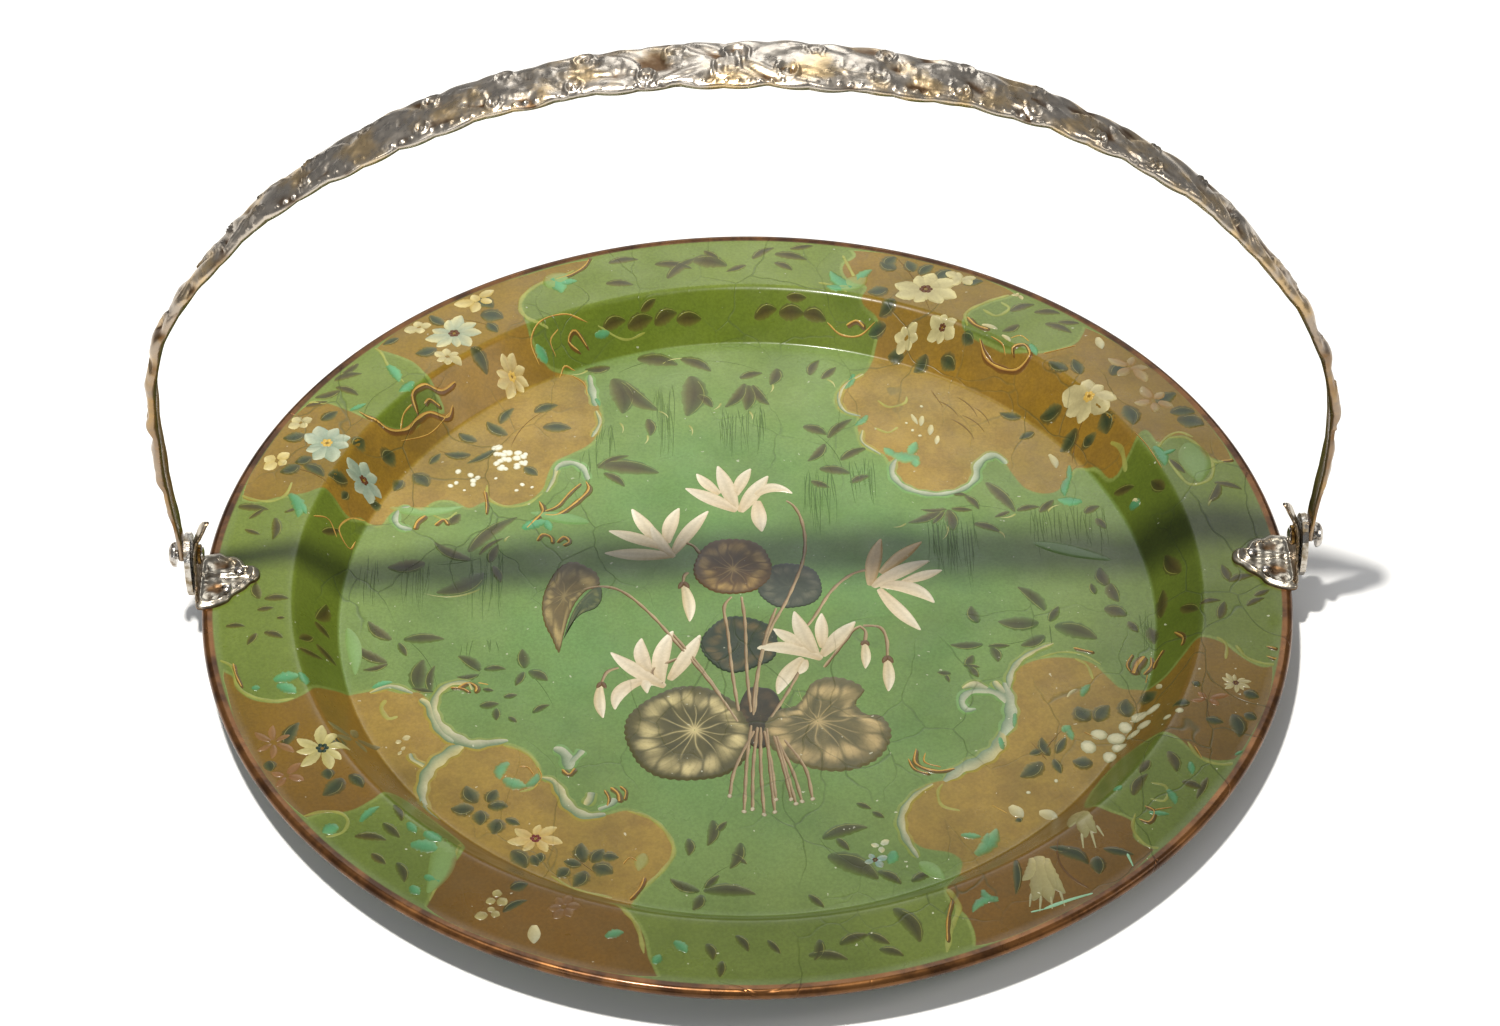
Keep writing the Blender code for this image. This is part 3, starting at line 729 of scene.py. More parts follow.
# Each row: distance along the arch, place across as a part of the half width, angle, length, half width.
LEAVES = np.array([
    (4, 0.0, 24, 21, 4.8), (27, 0.35, -30, 19, 3.8), (30, -0.4, 18, 18, 3.6), (49, 0.5, -34, 20, 3.9),
    (52, -0.2, 16, 21, 4.1), (74, 0.45, -30, 20, 3.8), (78, -0.45, 26, 18, 3.5), (97, 0.1, -22, 22, 4.0),
    (103, -0.55, 30, 16, 3.0), (120, 0.45, -32, 19, 3.2), (126, -0.35, 24, 17, 3.0), (143, 0.2, -24, 20, 3.1),
    (160, -0.3, 22, 19, 2.6), (176, 0.4, -20, 19, 2.5), (193, -0.3, 15, 19, 2.1), (211, 0.2, -12, 20, 1.9),
    (231, -0.2, 12, 22, 1.8), (252, 0.1, -9, 20, 1.8),
])
SCROLLS = np.array([
    (0, 0.35, 4.8), (15, -0.45, 4.0), (24, 0.55, 3.4), (43, -0.55, 3.8), (46, 0.6, 3.1), (68, -0.5, 3.6),
    (71, 0.62, 2.9), (92, -0.5, 3.4), (95, 0.62, 2.7), (115, -0.5, 3.0), (137, -0.45, 2.6), (138, 0.55, 2.3),
    (157, 0.4, 2.2), (172, -0.4, 2.0),
])
BEAD_STEP = 3.4


def width_at(distance):
    """Half the band's width at a distance from the top of the arch."""
    return float(np.interp(abs(distance), run[ALONG // 2:], half_width[ALONG // 2:]))


def band_relief(s, v, half):
    """Highest of the bed and the motifs at each point; the left half repeats the right one, moved and
    turned over so that the two don't match."""
    height = swirl_bed(s, v)
    for side, slip in ((1, 0.0), (-1, 3.5)):
        for s0, v0, angle, length, width in LEAVES:
            at = s0 + slip * 0.6
            leaf = leaf_relief(s * side, v, at, v0 * width_at(at) * side, angle * side, length, width)
            height = np.maximum(height, leaf)
        for s0, v0, radius in SCROLLS:
            at = s0 + slip
            height = np.maximum(height, scroll_relief(s * side, v, at, v0 * width_at(at) * side, radius))
    row = v + half - 1.6
    along = (s / BEAD_STEP - np.round(s / BEAD_STEP)) * BEAD_STEP
    beads = 0.85 * bump(np.hypot(along, row), 1.35) * (np.abs(s) < 170)
    return np.maximum(height, beads)


# %% [markdown]
# The band is closed in one loop round its section: the outer face carries the relief, the edges are
# round, and the underside is a shallow hollow with the soft lumps of a sand casting. Low knots stand on
# the legs, like the knots of a twig.

# %% Build the handle
def edge_cusps(s, seed):
    """How far the outline swings in and out: rounded cusps of a few lengths, like leaf tips in a row."""
    cusps = 1.2 * np.abs(np.sin(s / 9.3 + seed)) + 0.8 * np.abs(np.sin(s / 4.1 + 2 * seed))
    swing = cusps + 0.7 * np.sin(s / 23.0 + 3 * seed)
    return swing - 1.3


# Each row: distance along the arch from its top, height outward, length of the knot.
KNOTS = [
    (-262, 0.9, 5), (-286, 0.8, 5), (-226, 0.9, 6), (-206, 0.7, 5), (218, 0.7, 5), (240, 0.9, 6), (266, 0.7, 5),
    (-244, 0.5, 4),
]


def make_handle():
    """One loop of points round the section at each step of the arch: across is a flattened cosine and
    sine, the outer side rises with the relief and the knots, and the inner side is hollow."""
    turn = np.linspace(0, 2 * np.pi, ACROSS, endpoint=False)[None, :]
    s = run[:, None]
    full, t = half_width[:, None], thick[:, None]
    calm = ease(1, 12, line[:, 1:])
    c, w = np.cos(turn), np.sin(turn)
    swing = np.where(w > 0, edge_cusps(s, 0.4), edge_cusps(s, 2.1)) * calm * np.clip(full / 10, 0.35, 1)
    v = np.sign(w) * np.abs(w) ** 0.75 * (full - 0.3 + swing)
    outer = np.clip(np.sign(c) * np.abs(c) ** 0.32, 0, 1)
    level = np.clip(band_relief(s + 0 * turn, v, full), 0, 1) * calm + (1 - calm) * 0.7
    crown = 1 - 0.35 * (v / full) ** 2
    floor_at = np.where(t > 4.0, 0.0, 0.1 * t)
    rise = floor_at + (0.5 * t - floor_at - 0.04) * level * crown
    knot = sum(size * bump(s - at, length) for at, size, length in KNOTS)
    rise = rise + knot * (0.5 * t - rise) * 0.9
    wave = 0.3 * np.sin(s / 6.1) * np.sin(v / 2.3 + s / 11.0)
    below = -0.5 * t + 0.25 + 0.5 * (1 - (v / full) ** 2) * (t > 3) + wave * calm * 0.5
    n = np.where(c >= 0, below * (1 - outer) + rise * outer, below)
    x = line[:, :1] + outward[:, :1] * n
    z = line[:, 1:] + outward[:, 1:] * n + PIVOT_Z
    points = np.stack([x, v + 0 * x, z], -1).reshape(-1, 3) * MM
    leg = ease(165, 60, line[:, 1:])
    bare = np.where(c < -0.05, 0.85, leg * (0.8 - 0.35 * outer * level)) + 0 * s
    tone = np.stack([np.where(c > 0, level, 0.4) + 0 * s, bare, 0 * bare], -1).reshape(-1, 3)
    quads = grid_faces(ALONG, ACROSS, close_cols=True)
    ends = [np.arange(ACROSS)[::-1], (ALONG - 1) * ACROSS + np.arange(ACROSS)]
    band = add_mesh("handle_band", points, quads, CASTING, tone, caps=ends)
    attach(band, "handle")
    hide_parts("handle_arch")


make_handle()

# %% [markdown]
# ## Brackets and pivots
# Each bracket is a cast leaf that lies on the flange and turns up into an ear. The leaf is a fan of rings
# from its middle to its lobed outline and down to the sheet; its relief has a central ridge set a little
# towards the back, two hollows beside it, a raised roll inside the edge and a round lobe at the tip.

# %% Bracket leaves and ears
LEAF_BOTTOM = 16.75
LEAF_MIDDLE = np.array([177.5, 0.8])
EAR_X, EAR_HALF_THICK = 186.15, 0.74
# Each row: x and y of the outline, for the bracket on the right.
LEAF_EDGE = np.array([
    (186.6, 10.5), (185.6, 12.8), (182.5, 13.6), (180.0, 13.9), (177.6, 12.3), (175.2, 12.2), (172.6, 10.3),
    (170.8, 7.4), (168.2, 7.3), (166.2, 5.4), (165.9, 2.6), (167.0, 0.6), (168.9, -0.7), (170.4, -3.0),
    (172.4, -4.8), (174.4, -6.6), (175.8, -9.2), (178.2, -10.9), (181.5, -12.4), (185.0, -12.8), (186.6, -11.0),
    (186.8, -4.0), (186.8, 3.0), (186.7, 7.5),
])
# Each row: height, half width, how far the ear bends in towards the middle of the tray.
EAR = np.array([
    (13.2, 8.6, 0), (14.6, 10.6, 0), (19.6, 10.8, 0), (22.6, 8, 0), (26.2, 6, 0), (30.4, 5.6, 0),
    (34.4, 4.8, 0.3), (36.6, 3.6, 0.9), (38.4, 3.2, 1.6), (40.6, 4.1, 2.6), (42.6, 2.9, 3.8), (44.6, 0.8, 5.0),
])


def leaf_height(x, y, part):
    """Height of the casting over the flange, from the place and the part of the way out to the edge."""
    ridge = 0.9 * np.exp(-(((y - 2.6 - (x - 166) * 0.02) / 0.9) ** 2)) * ease(168, 172, x)
    hollow = 0.8 * bump(np.hypot((x - 180) / 1.5, y + 3.6), 3.6) + 0.5 * bump(np.hypot((x - 179) / 1.4, y - 7.6), 3.0)
    roll = 0.8 * np.exp(-(((part - 0.84) / 0.07) ** 2))
    lobe = 0.9 * bump(np.hypot(x - 168.3, y - 4.0), 2.6)
    curl = 0.14 * np.sin(x * 1.3 + y * 0.9) * np.sin(y * 1.1 - x * 0.6)
    beads = 0.16 * np.cos(np.arctan2(y, x - 177) * 22) * np.exp(-(((part - 0.7) / 0.05) ** 2))
    return 1.15 + ridge - hollow + roll + lobe + curl * (part < 0.9) + beads


def make_bracket(name, side):
    """The leaf as rings that grow from its middle to its outline and step down to the flange, and the ear
    as flattened loops stacked by height. side is -1 for the left bracket and 1 for the right."""
    spokes, rings = 168, 30
    edge = even_path(LEAF_EDGE, spokes, closed=True)
    part = np.concatenate([np.linspace(0.02, 0.955, rings), [0.985, 1.0, 0.995]])[:, None]
    x = LEAF_MIDDLE[0] + part * (edge[:, 0] - LEAF_MIDDLE[0])
    y = LEAF_MIDDLE[1] + part * (edge[:, 1] - LEAF_MIDDLE[1])
    lift = np.clip(leaf_height(x, y, part), 0.35, 3.0)
    fall = np.concatenate([np.ones(rings), [0.8, 0.35, 0.0]])[:, None]
    z = LEAF_BOTTOM + lift * fall
    z[-1] = LEAF_BOTTOM - 0.25
    count = len(part)
    points = [np.stack([x * side, y, z], -1).reshape(-1, 3)]
    tone = [np.stack([np.clip((lift - 0.6) / 1.5, 0, 1) * fall + 0 * x, 0 * x, 0 * x], -1).reshape(-1, 3)]
    quads = [grid_faces(count, spokes, close_cols=True, turn=side > 0)]
    caps = [np.arange(spokes)[:: 1 if side < 0 else -1]]
    caps.append((count - 1) * spokes + np.arange(spokes)[:: -1 if side < 0 else 1])

    rows, cols = 90, 28
    height = np.linspace(EAR[0, 0], EAR[-1, 0], rows)[:, None]
    half = np.interp(height, EAR[:, 0], EAR[:, 1])
    half = half * (1 + 0.035 * np.sin(height * 2.1)) * np.sqrt(np.clip((height - 12.9) / 0.8, 0.05, 1))
    bend = np.interp(height, EAR[:, 0], EAR[:, 2])
    turn = np.linspace(0, 2 * np.pi, cols, endpoint=False)[None, :]
    across = half * np.sign(np.sin(turn)) * np.abs(np.sin(turn)) ** 0.8
    deep = EAR_HALF_THICK * np.sign(np.cos(turn)) * np.abs(np.cos(turn)) ** 0.35
    rib = np.where(np.cos(turn) < 0, -0.25 * np.exp(-((across / 0.7) ** 2)) * (height > 33), 0)
    ex = EAR_X - bend + deep + rib
    points.append(np.stack([(ex + 0 * across) * side, across, height + 0 * across], -1).reshape(-1, 3))
    inner = np.where(np.cos(turn) < 0, 0.8, 0.0) + 0 * across
    level = 0.45 + 0.3 * np.sin(height * 1.7) * np.cos(turn) + 0 * across
    tone.append(np.stack([level, inner * 0.9, 0 * across], -1).reshape(-1, 3))
    start = count * spokes
    quads.append(grid_faces(rows, cols, close_cols=True, turn=side < 0) + start)
    foot, tip = start + np.arange(cols), start + (rows - 1) * cols + np.arange(cols)
    caps += [foot[:: -1 if side > 0 else 1], tip[:: 1 if side > 0 else -1]]

    points, quads, tone = np.concatenate(points) * MM, np.concatenate(quads), np.concatenate(tone)
    bracket = add_mesh(name + "_casting", points, quads, LEAF_CASTING, tone, caps=caps)
    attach(bracket, "tray")
    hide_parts(name)


make_bracket("bracket_left", -1)
make_bracket("bracket_right", 1)

# %% [markdown]
# The smaller pieces keep their CAD shapes: pivot rivets with domed heads, shields, burrs, rivets through
# the leaves, backing plates under the flange and the iron wire inside the curl. Each gets its own metal.

# %% Finishes for the small pieces
def plain_metal(name, bright, dull, rough, rust=0.0):
    """Metal with stains from noise: bright where rubbed and dull elsewhere."""
    finish = Recipe(name, rough, metallic=1.0)
    stain = finish.ramp(finish.noise(260.0, 4.0, 0.6), 0.4, 0.64)
    colour = finish.blend(stain, bright, dull)
    if rust:
        rusty = finish.ramp(finish.noise(120.0, 4.0), 0.5, 0.6)
        colour = finish.blend(finish.math("MULTIPLY", rusty, rust), colour, srgb(96, 52, 26))
    finish.link(colour, "Base Color")
    finish.link(finish.ramp(stain, 0.0, 1.0, rough * 0.8, rough * 1.5), "Roughness")
    finish.link(finish.bump(finish.noise(480.0, 3.0, 0.6), 0.0002), "Normal")
    return finish.material


DOME = plain_metal("worn_silver", srgb(198, 192, 184), srgb(120, 104, 84), 0.22)
SHIELD = plain_metal("grey_silver", srgb(196, 190, 180), srgb(134, 118, 92), 0.28)
BRASS = plain_metal("aged_brass_metal", srgb(168, 130, 66), srgb(88, 64, 34), 0.34)
IRON = plain_metal("iron_wire_metal", srgb(96, 92, 88), srgb(52, 44, 38), 0.5, rust=0.7)


def small_finish(node):
    """The finish for a CAD node, by a word in its name."""
    if "wire" in node:
        return IRON
    if "shield" in node:
        return SHIELD
    if "plate" in node or "burr" in node:
        return BRASS
    return DOME


SMALL_PIECES = ("pivot_", "rivet", "backing", "rim_wire")
for obj in bpy.context.scene.objects:
    if obj.type == "MESH" and any(word in obj.name for word in SMALL_PIECES):
        for slot in obj.material_slots:
            slot.material = small_finish(obj.name)
        print(obj.name, "takes", small_finish(obj.name).name)

# %% [markdown]
# ## Brushwork
# A brush stroke is a thin film of paint: a grid with its first parameter along the stroke and its second
# across it. The middle line is a quadratic curve through three points, the half width is a short formula
# of the place along the stroke, the film is crowned in the middle and its edges dip just under the
# ground. All the strokes of one piece are made together, as one array of numbers for each quantity.

# %% Stroke helpers
PAINT_R = 181.0
MAP_HALF = 190
reach = np.arange(-MAP_HALF, MAP_HALF + 1.0)
map_x, map_y = np.meshgrid(reach, reach, indexing="ij")
ochre_map = ochre_depth(map_x, map_y)


def under_colour(x, y):
    """Mean ground colour below a point, with the ochre depth read from a one-millimetre map."""
    i = np.clip(np.round(x + MAP_HALF).astype(int), 0, 2 * MAP_HALF)
    j = np.clip(np.round(y + MAP_HALF).astype(int), 0, 2 * MAP_HALF)
    return ground_colour(x, y, ochre_map[i, j])


def comma(t):
    """A round head that ends at 0.24 of the length, then a tail that thins to nothing."""
    head = np.sqrt(np.clip(1 - ((t - 0.24) / 0.26) ** 2, 0, 1))
    tail = np.clip((1 - t) / 0.76, 0, 1) ** 0.8
    return head * (t < 0.24) + tail * (t >= 0.24)


# The half width of each kind of stroke, as a part of the widest, from the place t along it.
WIDTHS = {
    "leaf": lambda t: np.sin(np.pi * t**0.85) ** 0.8,
    "petal": lambda t: np.sin(np.pi * (0.16 + 0.84 * t) ** 1.35) ** 0.75 * (1 - 0.3 * t**4),
    "comma": comma,
    "line": lambda t: (0.25 + 0.75 * np.clip(t * 5, 0, 1)) * (1 - 0.65 * t),
}


class Film:
    """Strokes gathered for one piece: each call adds grids of points with their colours. The crown of a
    stroke stands lift millimetres over the ground and its edges lie dip millimetres under it."""

    def __init__(self, name, lift, dip=0.05):
        self.name, self.lift, self.dip = name, lift, dip
        self.points, self.colours, self.quads, self.count = [], [], [], 0

    def add(self, x, y, height, colour):
        """Adds grids with shape (strokes, along, across); height is 0 at the edges and 1 on the crown."""
        n, rows, cols = x.shape
        r = np.maximum(np.hypot(x, y), 1.0)
        x, y = x * np.minimum(1, PAINT_R / r), y * np.minimum(1, PAINT_R / r)
        z = ground(x, y) - self.dip + (self.lift + self.dip) * height
        grid = grid_faces(rows, cols)
        start = self.count + np.arange(n)[:, None, None] * rows * cols
        self.points.append(np.stack([x, y, z], -1).reshape(-1, 3))
        self.colours.append(np.broadcast_to(colour, x.shape + (3,)).reshape(-1, 3))
        self.quads.append((grid[None] + start).reshape(-1, 4))
        self.count += n * rows * cols

    def finish(self):
        """Makes the mesh: a face that looks down, by the cross product of its diagonals, is turned over."""
        points = np.concatenate(self.points) * MM
        quads = np.concatenate(self.quads)
        corner = points[quads]
        down = np.cross(corner[:, 2] - corner[:, 0], corner[:, 3] - corner[:, 1])[:, 2] < 0
        quads[down] = quads[down][:, ::-1]
        piece = add_mesh(self.name, points, quads, PAINT, np.concatenate(self.colours))
        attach(piece, "tray")


def make_paint_finish():
    """Oil colour from the points, with the same age and the same painted shade towards the front and the right as the
    ground below it.
    """
    finish = lacquered("oil_colours", 0.32)
    colour = finish.node("ShaderNodeVertexColor", layer_name="paint").outputs["Color"]
    finish.link(age_and_shade(finish, colour, 0.6), "Base Color")
    return finish.material


PAINT = make_paint_finish()
# Places across a stroke, from one edge to the other, and how high the film stands at each.
ACROSS_SIDE = np.array([-1.0, -0.86, -0.5, 0.0, 0.5, 0.86, 1.0])
ACROSS_HEIGHT = np.array([0.0, 0.65, 0.92, 1.0, 0.92, 0.65, 0.0])


def bow(row, bend):
    """The middle point of a stroke from its two ends and how far it bows, as a part of its length."""
    x0, y0, x1, y1 = row[..., 0], row[..., 1], row[..., 2], row[..., 3]
    return np.stack([(x0 + x1) / 2 - bend * (y1 - y0), (y0 + y1) / 2 + bend * (x1 - x0)], -1)


def strokes(film, rows, kind, colour, tip=None, cover=1.0, edge=None, along=13, vein=0.0, jag=0.0):
    """Adds strokes to a film. Each row is x and y of the base, x and y of the tip, width, bow.
    colour and tip blend along the stroke; edge blends in across it; a cover below 1 lets the mean ground
    show, most at the edges; vein darkens the middle line; jag nicks the outline."""
    rows = np.atleast_2d(np.asarray(rows, float))
    n = len(rows)
    base, end = rows[:, 0:2], rows[:, 2:4]
    via = 2 * bow(rows, rows[:, 5]) - (base + end) / 2
    t = np.linspace(0, 1, along)[None, :, None]
    u = ACROSS_SIDE[None, None, :]
    a, b, c = (p[:, None, None, :] for p in (base, via, end))
    s = t[..., None]
    centre = (1 - s) ** 2 * a + 2 * s * (1 - s) * b + s**2 * c
    ahead = 2 * (1 - s) * (b - a) + 2 * s * (c - b)
    ahead = ahead / np.maximum(np.linalg.norm(ahead, axis=-1, keepdims=True), 1e-6)
    half = rows[:, 4, None, None] / 2 * WIDTHS[kind](t)
    if jag:
        half = half * (1 + jag * np.sin(t * 31 + np.arange(n)[:, None, None] * 2.3) * np.sin(t * 3))
    x = centre[..., 0] - ahead[..., 1] * u * half
    y = centre[..., 1] + ahead[..., 0] * u * half
    far = np.hypot(x, y).max((1, 2), keepdims=True)
    back = np.maximum(far - PAINT_R, 0) / np.hypot(base[:, :1], base[:, 1:])[:, :, None]
    x, y = x - back * base[:, 0, None, None], y - back * base[:, 1, None, None]
    height = np.broadcast_to(ACROSS_HEIGHT[None, None, :] * np.clip(np.sin(np.pi * t) * 2.4, 0, 1), x.shape)
    tone = mix(t + 0 * u, colour, colour if tip is None else tip)
    shade = chance.uniform(0.88, 1.1, (n, 1, 1, 1))
    tone = np.broadcast_to(tone, x.shape + (3,)) * shade
    if edge is not None:
        tone = mix(np.broadcast_to(np.clip(0.5 - 0.5 * u, 0, 1) ** 1.5, x.shape), tone, edge)
    if vein:
        tone = tone * (1 - vein * np.exp(-((u / 0.16) ** 2)) * (t < 0.9))[..., None]
    if cover < 1.0:
        part = cover * (1 - 0.75 * np.abs(u) ** 3) * (0.75 + 0.25 * np.sin(np.pi * t)) + 0 * x
        tone = mix(part, under_colour(x, y), tone)
    film.add(x, y, height, tone)


def edge_lights(film, rows, colour, cover=0.7):
    """Adds a thin light line just inside one edge of each leaf in rows."""
    rows = np.array(rows, float)
    rows[:, 5] += 0.34 * rows[:, 4] / np.hypot(rows[:, 2] - rows[:, 0], rows[:, 3] - rows[:, 1])
    rows[:, 4] = 0.5
    strokes(film, rows, "line", colour, cover=cover)


def ribbon(film, path, width, colour, end=None, edge=None, taper=1.0, cover=1.0):
    """A long stroke through given points. width is a number or a list along the path, blended between; taper thins
    both ends. edge colours one side and the ground shows through a thin cover."""
    path = np.asarray(path, float)
    length = np.linalg.norm(np.diff(path, axis=0), axis=1).sum()
    count = int(np.clip(length / 1.1, 12, 220))
    centre = even_path(path, count)
    ahead = np.gradient(centre, axis=0)
    ahead /= np.maximum(np.linalg.norm(ahead, axis=1, keepdims=True), 1e-6)
    t = np.linspace(0, 1, count)
    half = np.interp(t, np.linspace(0, 1, np.size(width)), np.atleast_1d(width)) / 2
    half = half * (1 - taper + taper * np.clip(np.minimum(t, 1 - t) * 9, 0.08, 1) ** 0.7)
    half = half * (1 + 0.16 * np.sin(t * length * 0.9 + length))
    u = ACROSS_SIDE
    x = centre[:, :1] - ahead[:, 1:] * u * half[:, None]
    y = centre[:, 1:] + ahead[:, :1] * u * half[:, None]
    inside = (np.hypot(x, y).max(1) < PAINT_R)[:, None]
    height = ACROSS_HEIGHT * np.clip(np.minimum(t, 1 - t) * 20, 0, 1)[:, None] * inside
    tone = mix(t, colour, colour if end is None else end)[:, None] + np.zeros((1, 7, 1))
    tone = tone * (1 + 0.09 * np.sin(t * length * 0.55 + 1.0)[:, None, None])
    if edge is not None:
        tone = mix(np.broadcast_to(np.clip(0.5 - 0.6 * u, 0, 1) ** 1.3, x.shape), tone, edge)
    if cover < 1.0:
        tone = mix(cover * (1 - 0.6 * np.abs(u) ** 3) + 0 * x, under_colour(x, y), tone)
    film.add(x[None], y[None], height[None], tone[None])


def dots(film, rows, colour, edge=None):
    """Round dabs. Each row is x, y, radius. Rings go from the middle to the edge."""
    rows = np.atleast_2d(np.asarray(rows, float))
    ring = np.array([0.02, 0.5, 0.85, 1.0])[None, :, None]
    turn = np.linspace(0, 2 * np.pi, 11)[None, None, :]
    wobble = 1 + 0.1 * np.sin(turn * 2 + rows[:, :1, None])
    x = rows[:, 0, None, None] + rows[:, 2, None, None] * ring * np.cos(turn) * wobble
    y = rows[:, 1, None, None] + rows[:, 2, None, None] * ring * np.sin(turn) * wobble
    height = np.broadcast_to(np.array([1.0, 0.96, 0.8, 0.0])[None, :, None], x.shape)
    part = np.broadcast_to(np.array([0, 0.1, 0.6, 1.0])[None, :, None], x.shape)
    film.add(x, y, height, mix(part, colour, colour if edge is None else edge))


PETAL_START, PETAL_BOW = 0.12, 0.06


def fan(x, y, radius, petals, width, phase=0.0, squash=1.0, lean=0.0):
    """Rows of strokes that stand round a point like the petals of a flower, on a circle that is squashed
    and then turned by lean degrees."""
    k = np.arange(petals)
    angle = np.radians(phase + k * 360.0 / petals) + 0.12 * np.sin(k * 2.4)
    size = radius * (1 + 0.14 * np.sin(k * 1.9 + phase))
    c, s = np.cos(angle), np.sin(angle) * squash
    tilt = math.radians(lean)
    dx, dy = c * math.cos(tilt) - s * math.sin(tilt), c * math.sin(tilt) + s * math.cos(tilt)
    ends = [x + PETAL_START * size * dx, y + PETAL_START * size * dy, x + size * dx, y + size * dy]
    return np.stack([*ends, width * size / radius, PETAL_BOW + 0 * dx], 1)

# %% [markdown]
# ## Grasses and leaf sprays
# The green ground is filled with soft sprays of olive and brown leaves and, behind them, hairlines like
# hanging grass. They are thin paint: the ground shows through, most at the edges of each leaf.

# %% Hairlines
GRASS = srgb(58, 68, 32)
OLIVE = srgb(50, 56, 20)
LEAF_BROWN = srgb(70, 52, 22)
SLATE = srgb(30, 52, 34)
CREAM = srgb(216, 204, 150)
SCROLL_CREAM = srgb(196, 184, 128)
PALE_GREY = srgb(176, 176, 150)
PALE_BLUE = srgb(178, 186, 160)
YELLOW_GREEN = srgb(146, 146, 62)
GOLD = srgb(204, 168, 80)
GOLD_DARK = srgb(92, 52, 20)
TURQUOISE = srgb(78, 158, 112)
MINT = srgb(122, 162, 98)


def hang(x0, x1, y0, y1, count):
    """Rows of fine upright strokes scattered over a box, each a little off the upright."""
    x = chance.uniform(x0, x1, count)
    top = chance.uniform((y0 + 2 * y1) / 3, y1, count)
    low = top - chance.uniform(0.35, 0.9, count) * (y1 - y0)
    return np.stack([x, top, x + chance.uniform(-1.5, 1.5, count), low, chance.uniform(0.25, 0.5, count),
                     chance.uniform(-0.04, 0.04, count)], 1)


grass = Film("grass_lines", 0.05, 0.02)
# Each row: the box's left, right, front and back, and the number of lines.
GRASS_BOXES = [
    (-52, -46, 76, 98, 12), (-31, -24, 78, 120, 20), (-8, 9, 80, 106, 34), (22, 32, 38, 72, 20),
    (38, 47, 52, 78, 16), (-120, -110, 0, 30, 12), (-96, -82, -6, 34, 16), (62, 84, 10, 50, 34),
    (100, 128, 26, 52, 34), (-98, -86, -24, -12, 8), (-60, -46, 60, 84, 8), (134, 139, -24, -4, 10),
    (-134, -128, 6, 30, 10),
]
for box in GRASS_BOXES:
    strokes(grass, hang(*box), "line", GRASS, cover=0.62)
grass.finish()

# %% [markdown]
# Leaves are written one by one: base, tip, width and bow, all in millimetres.

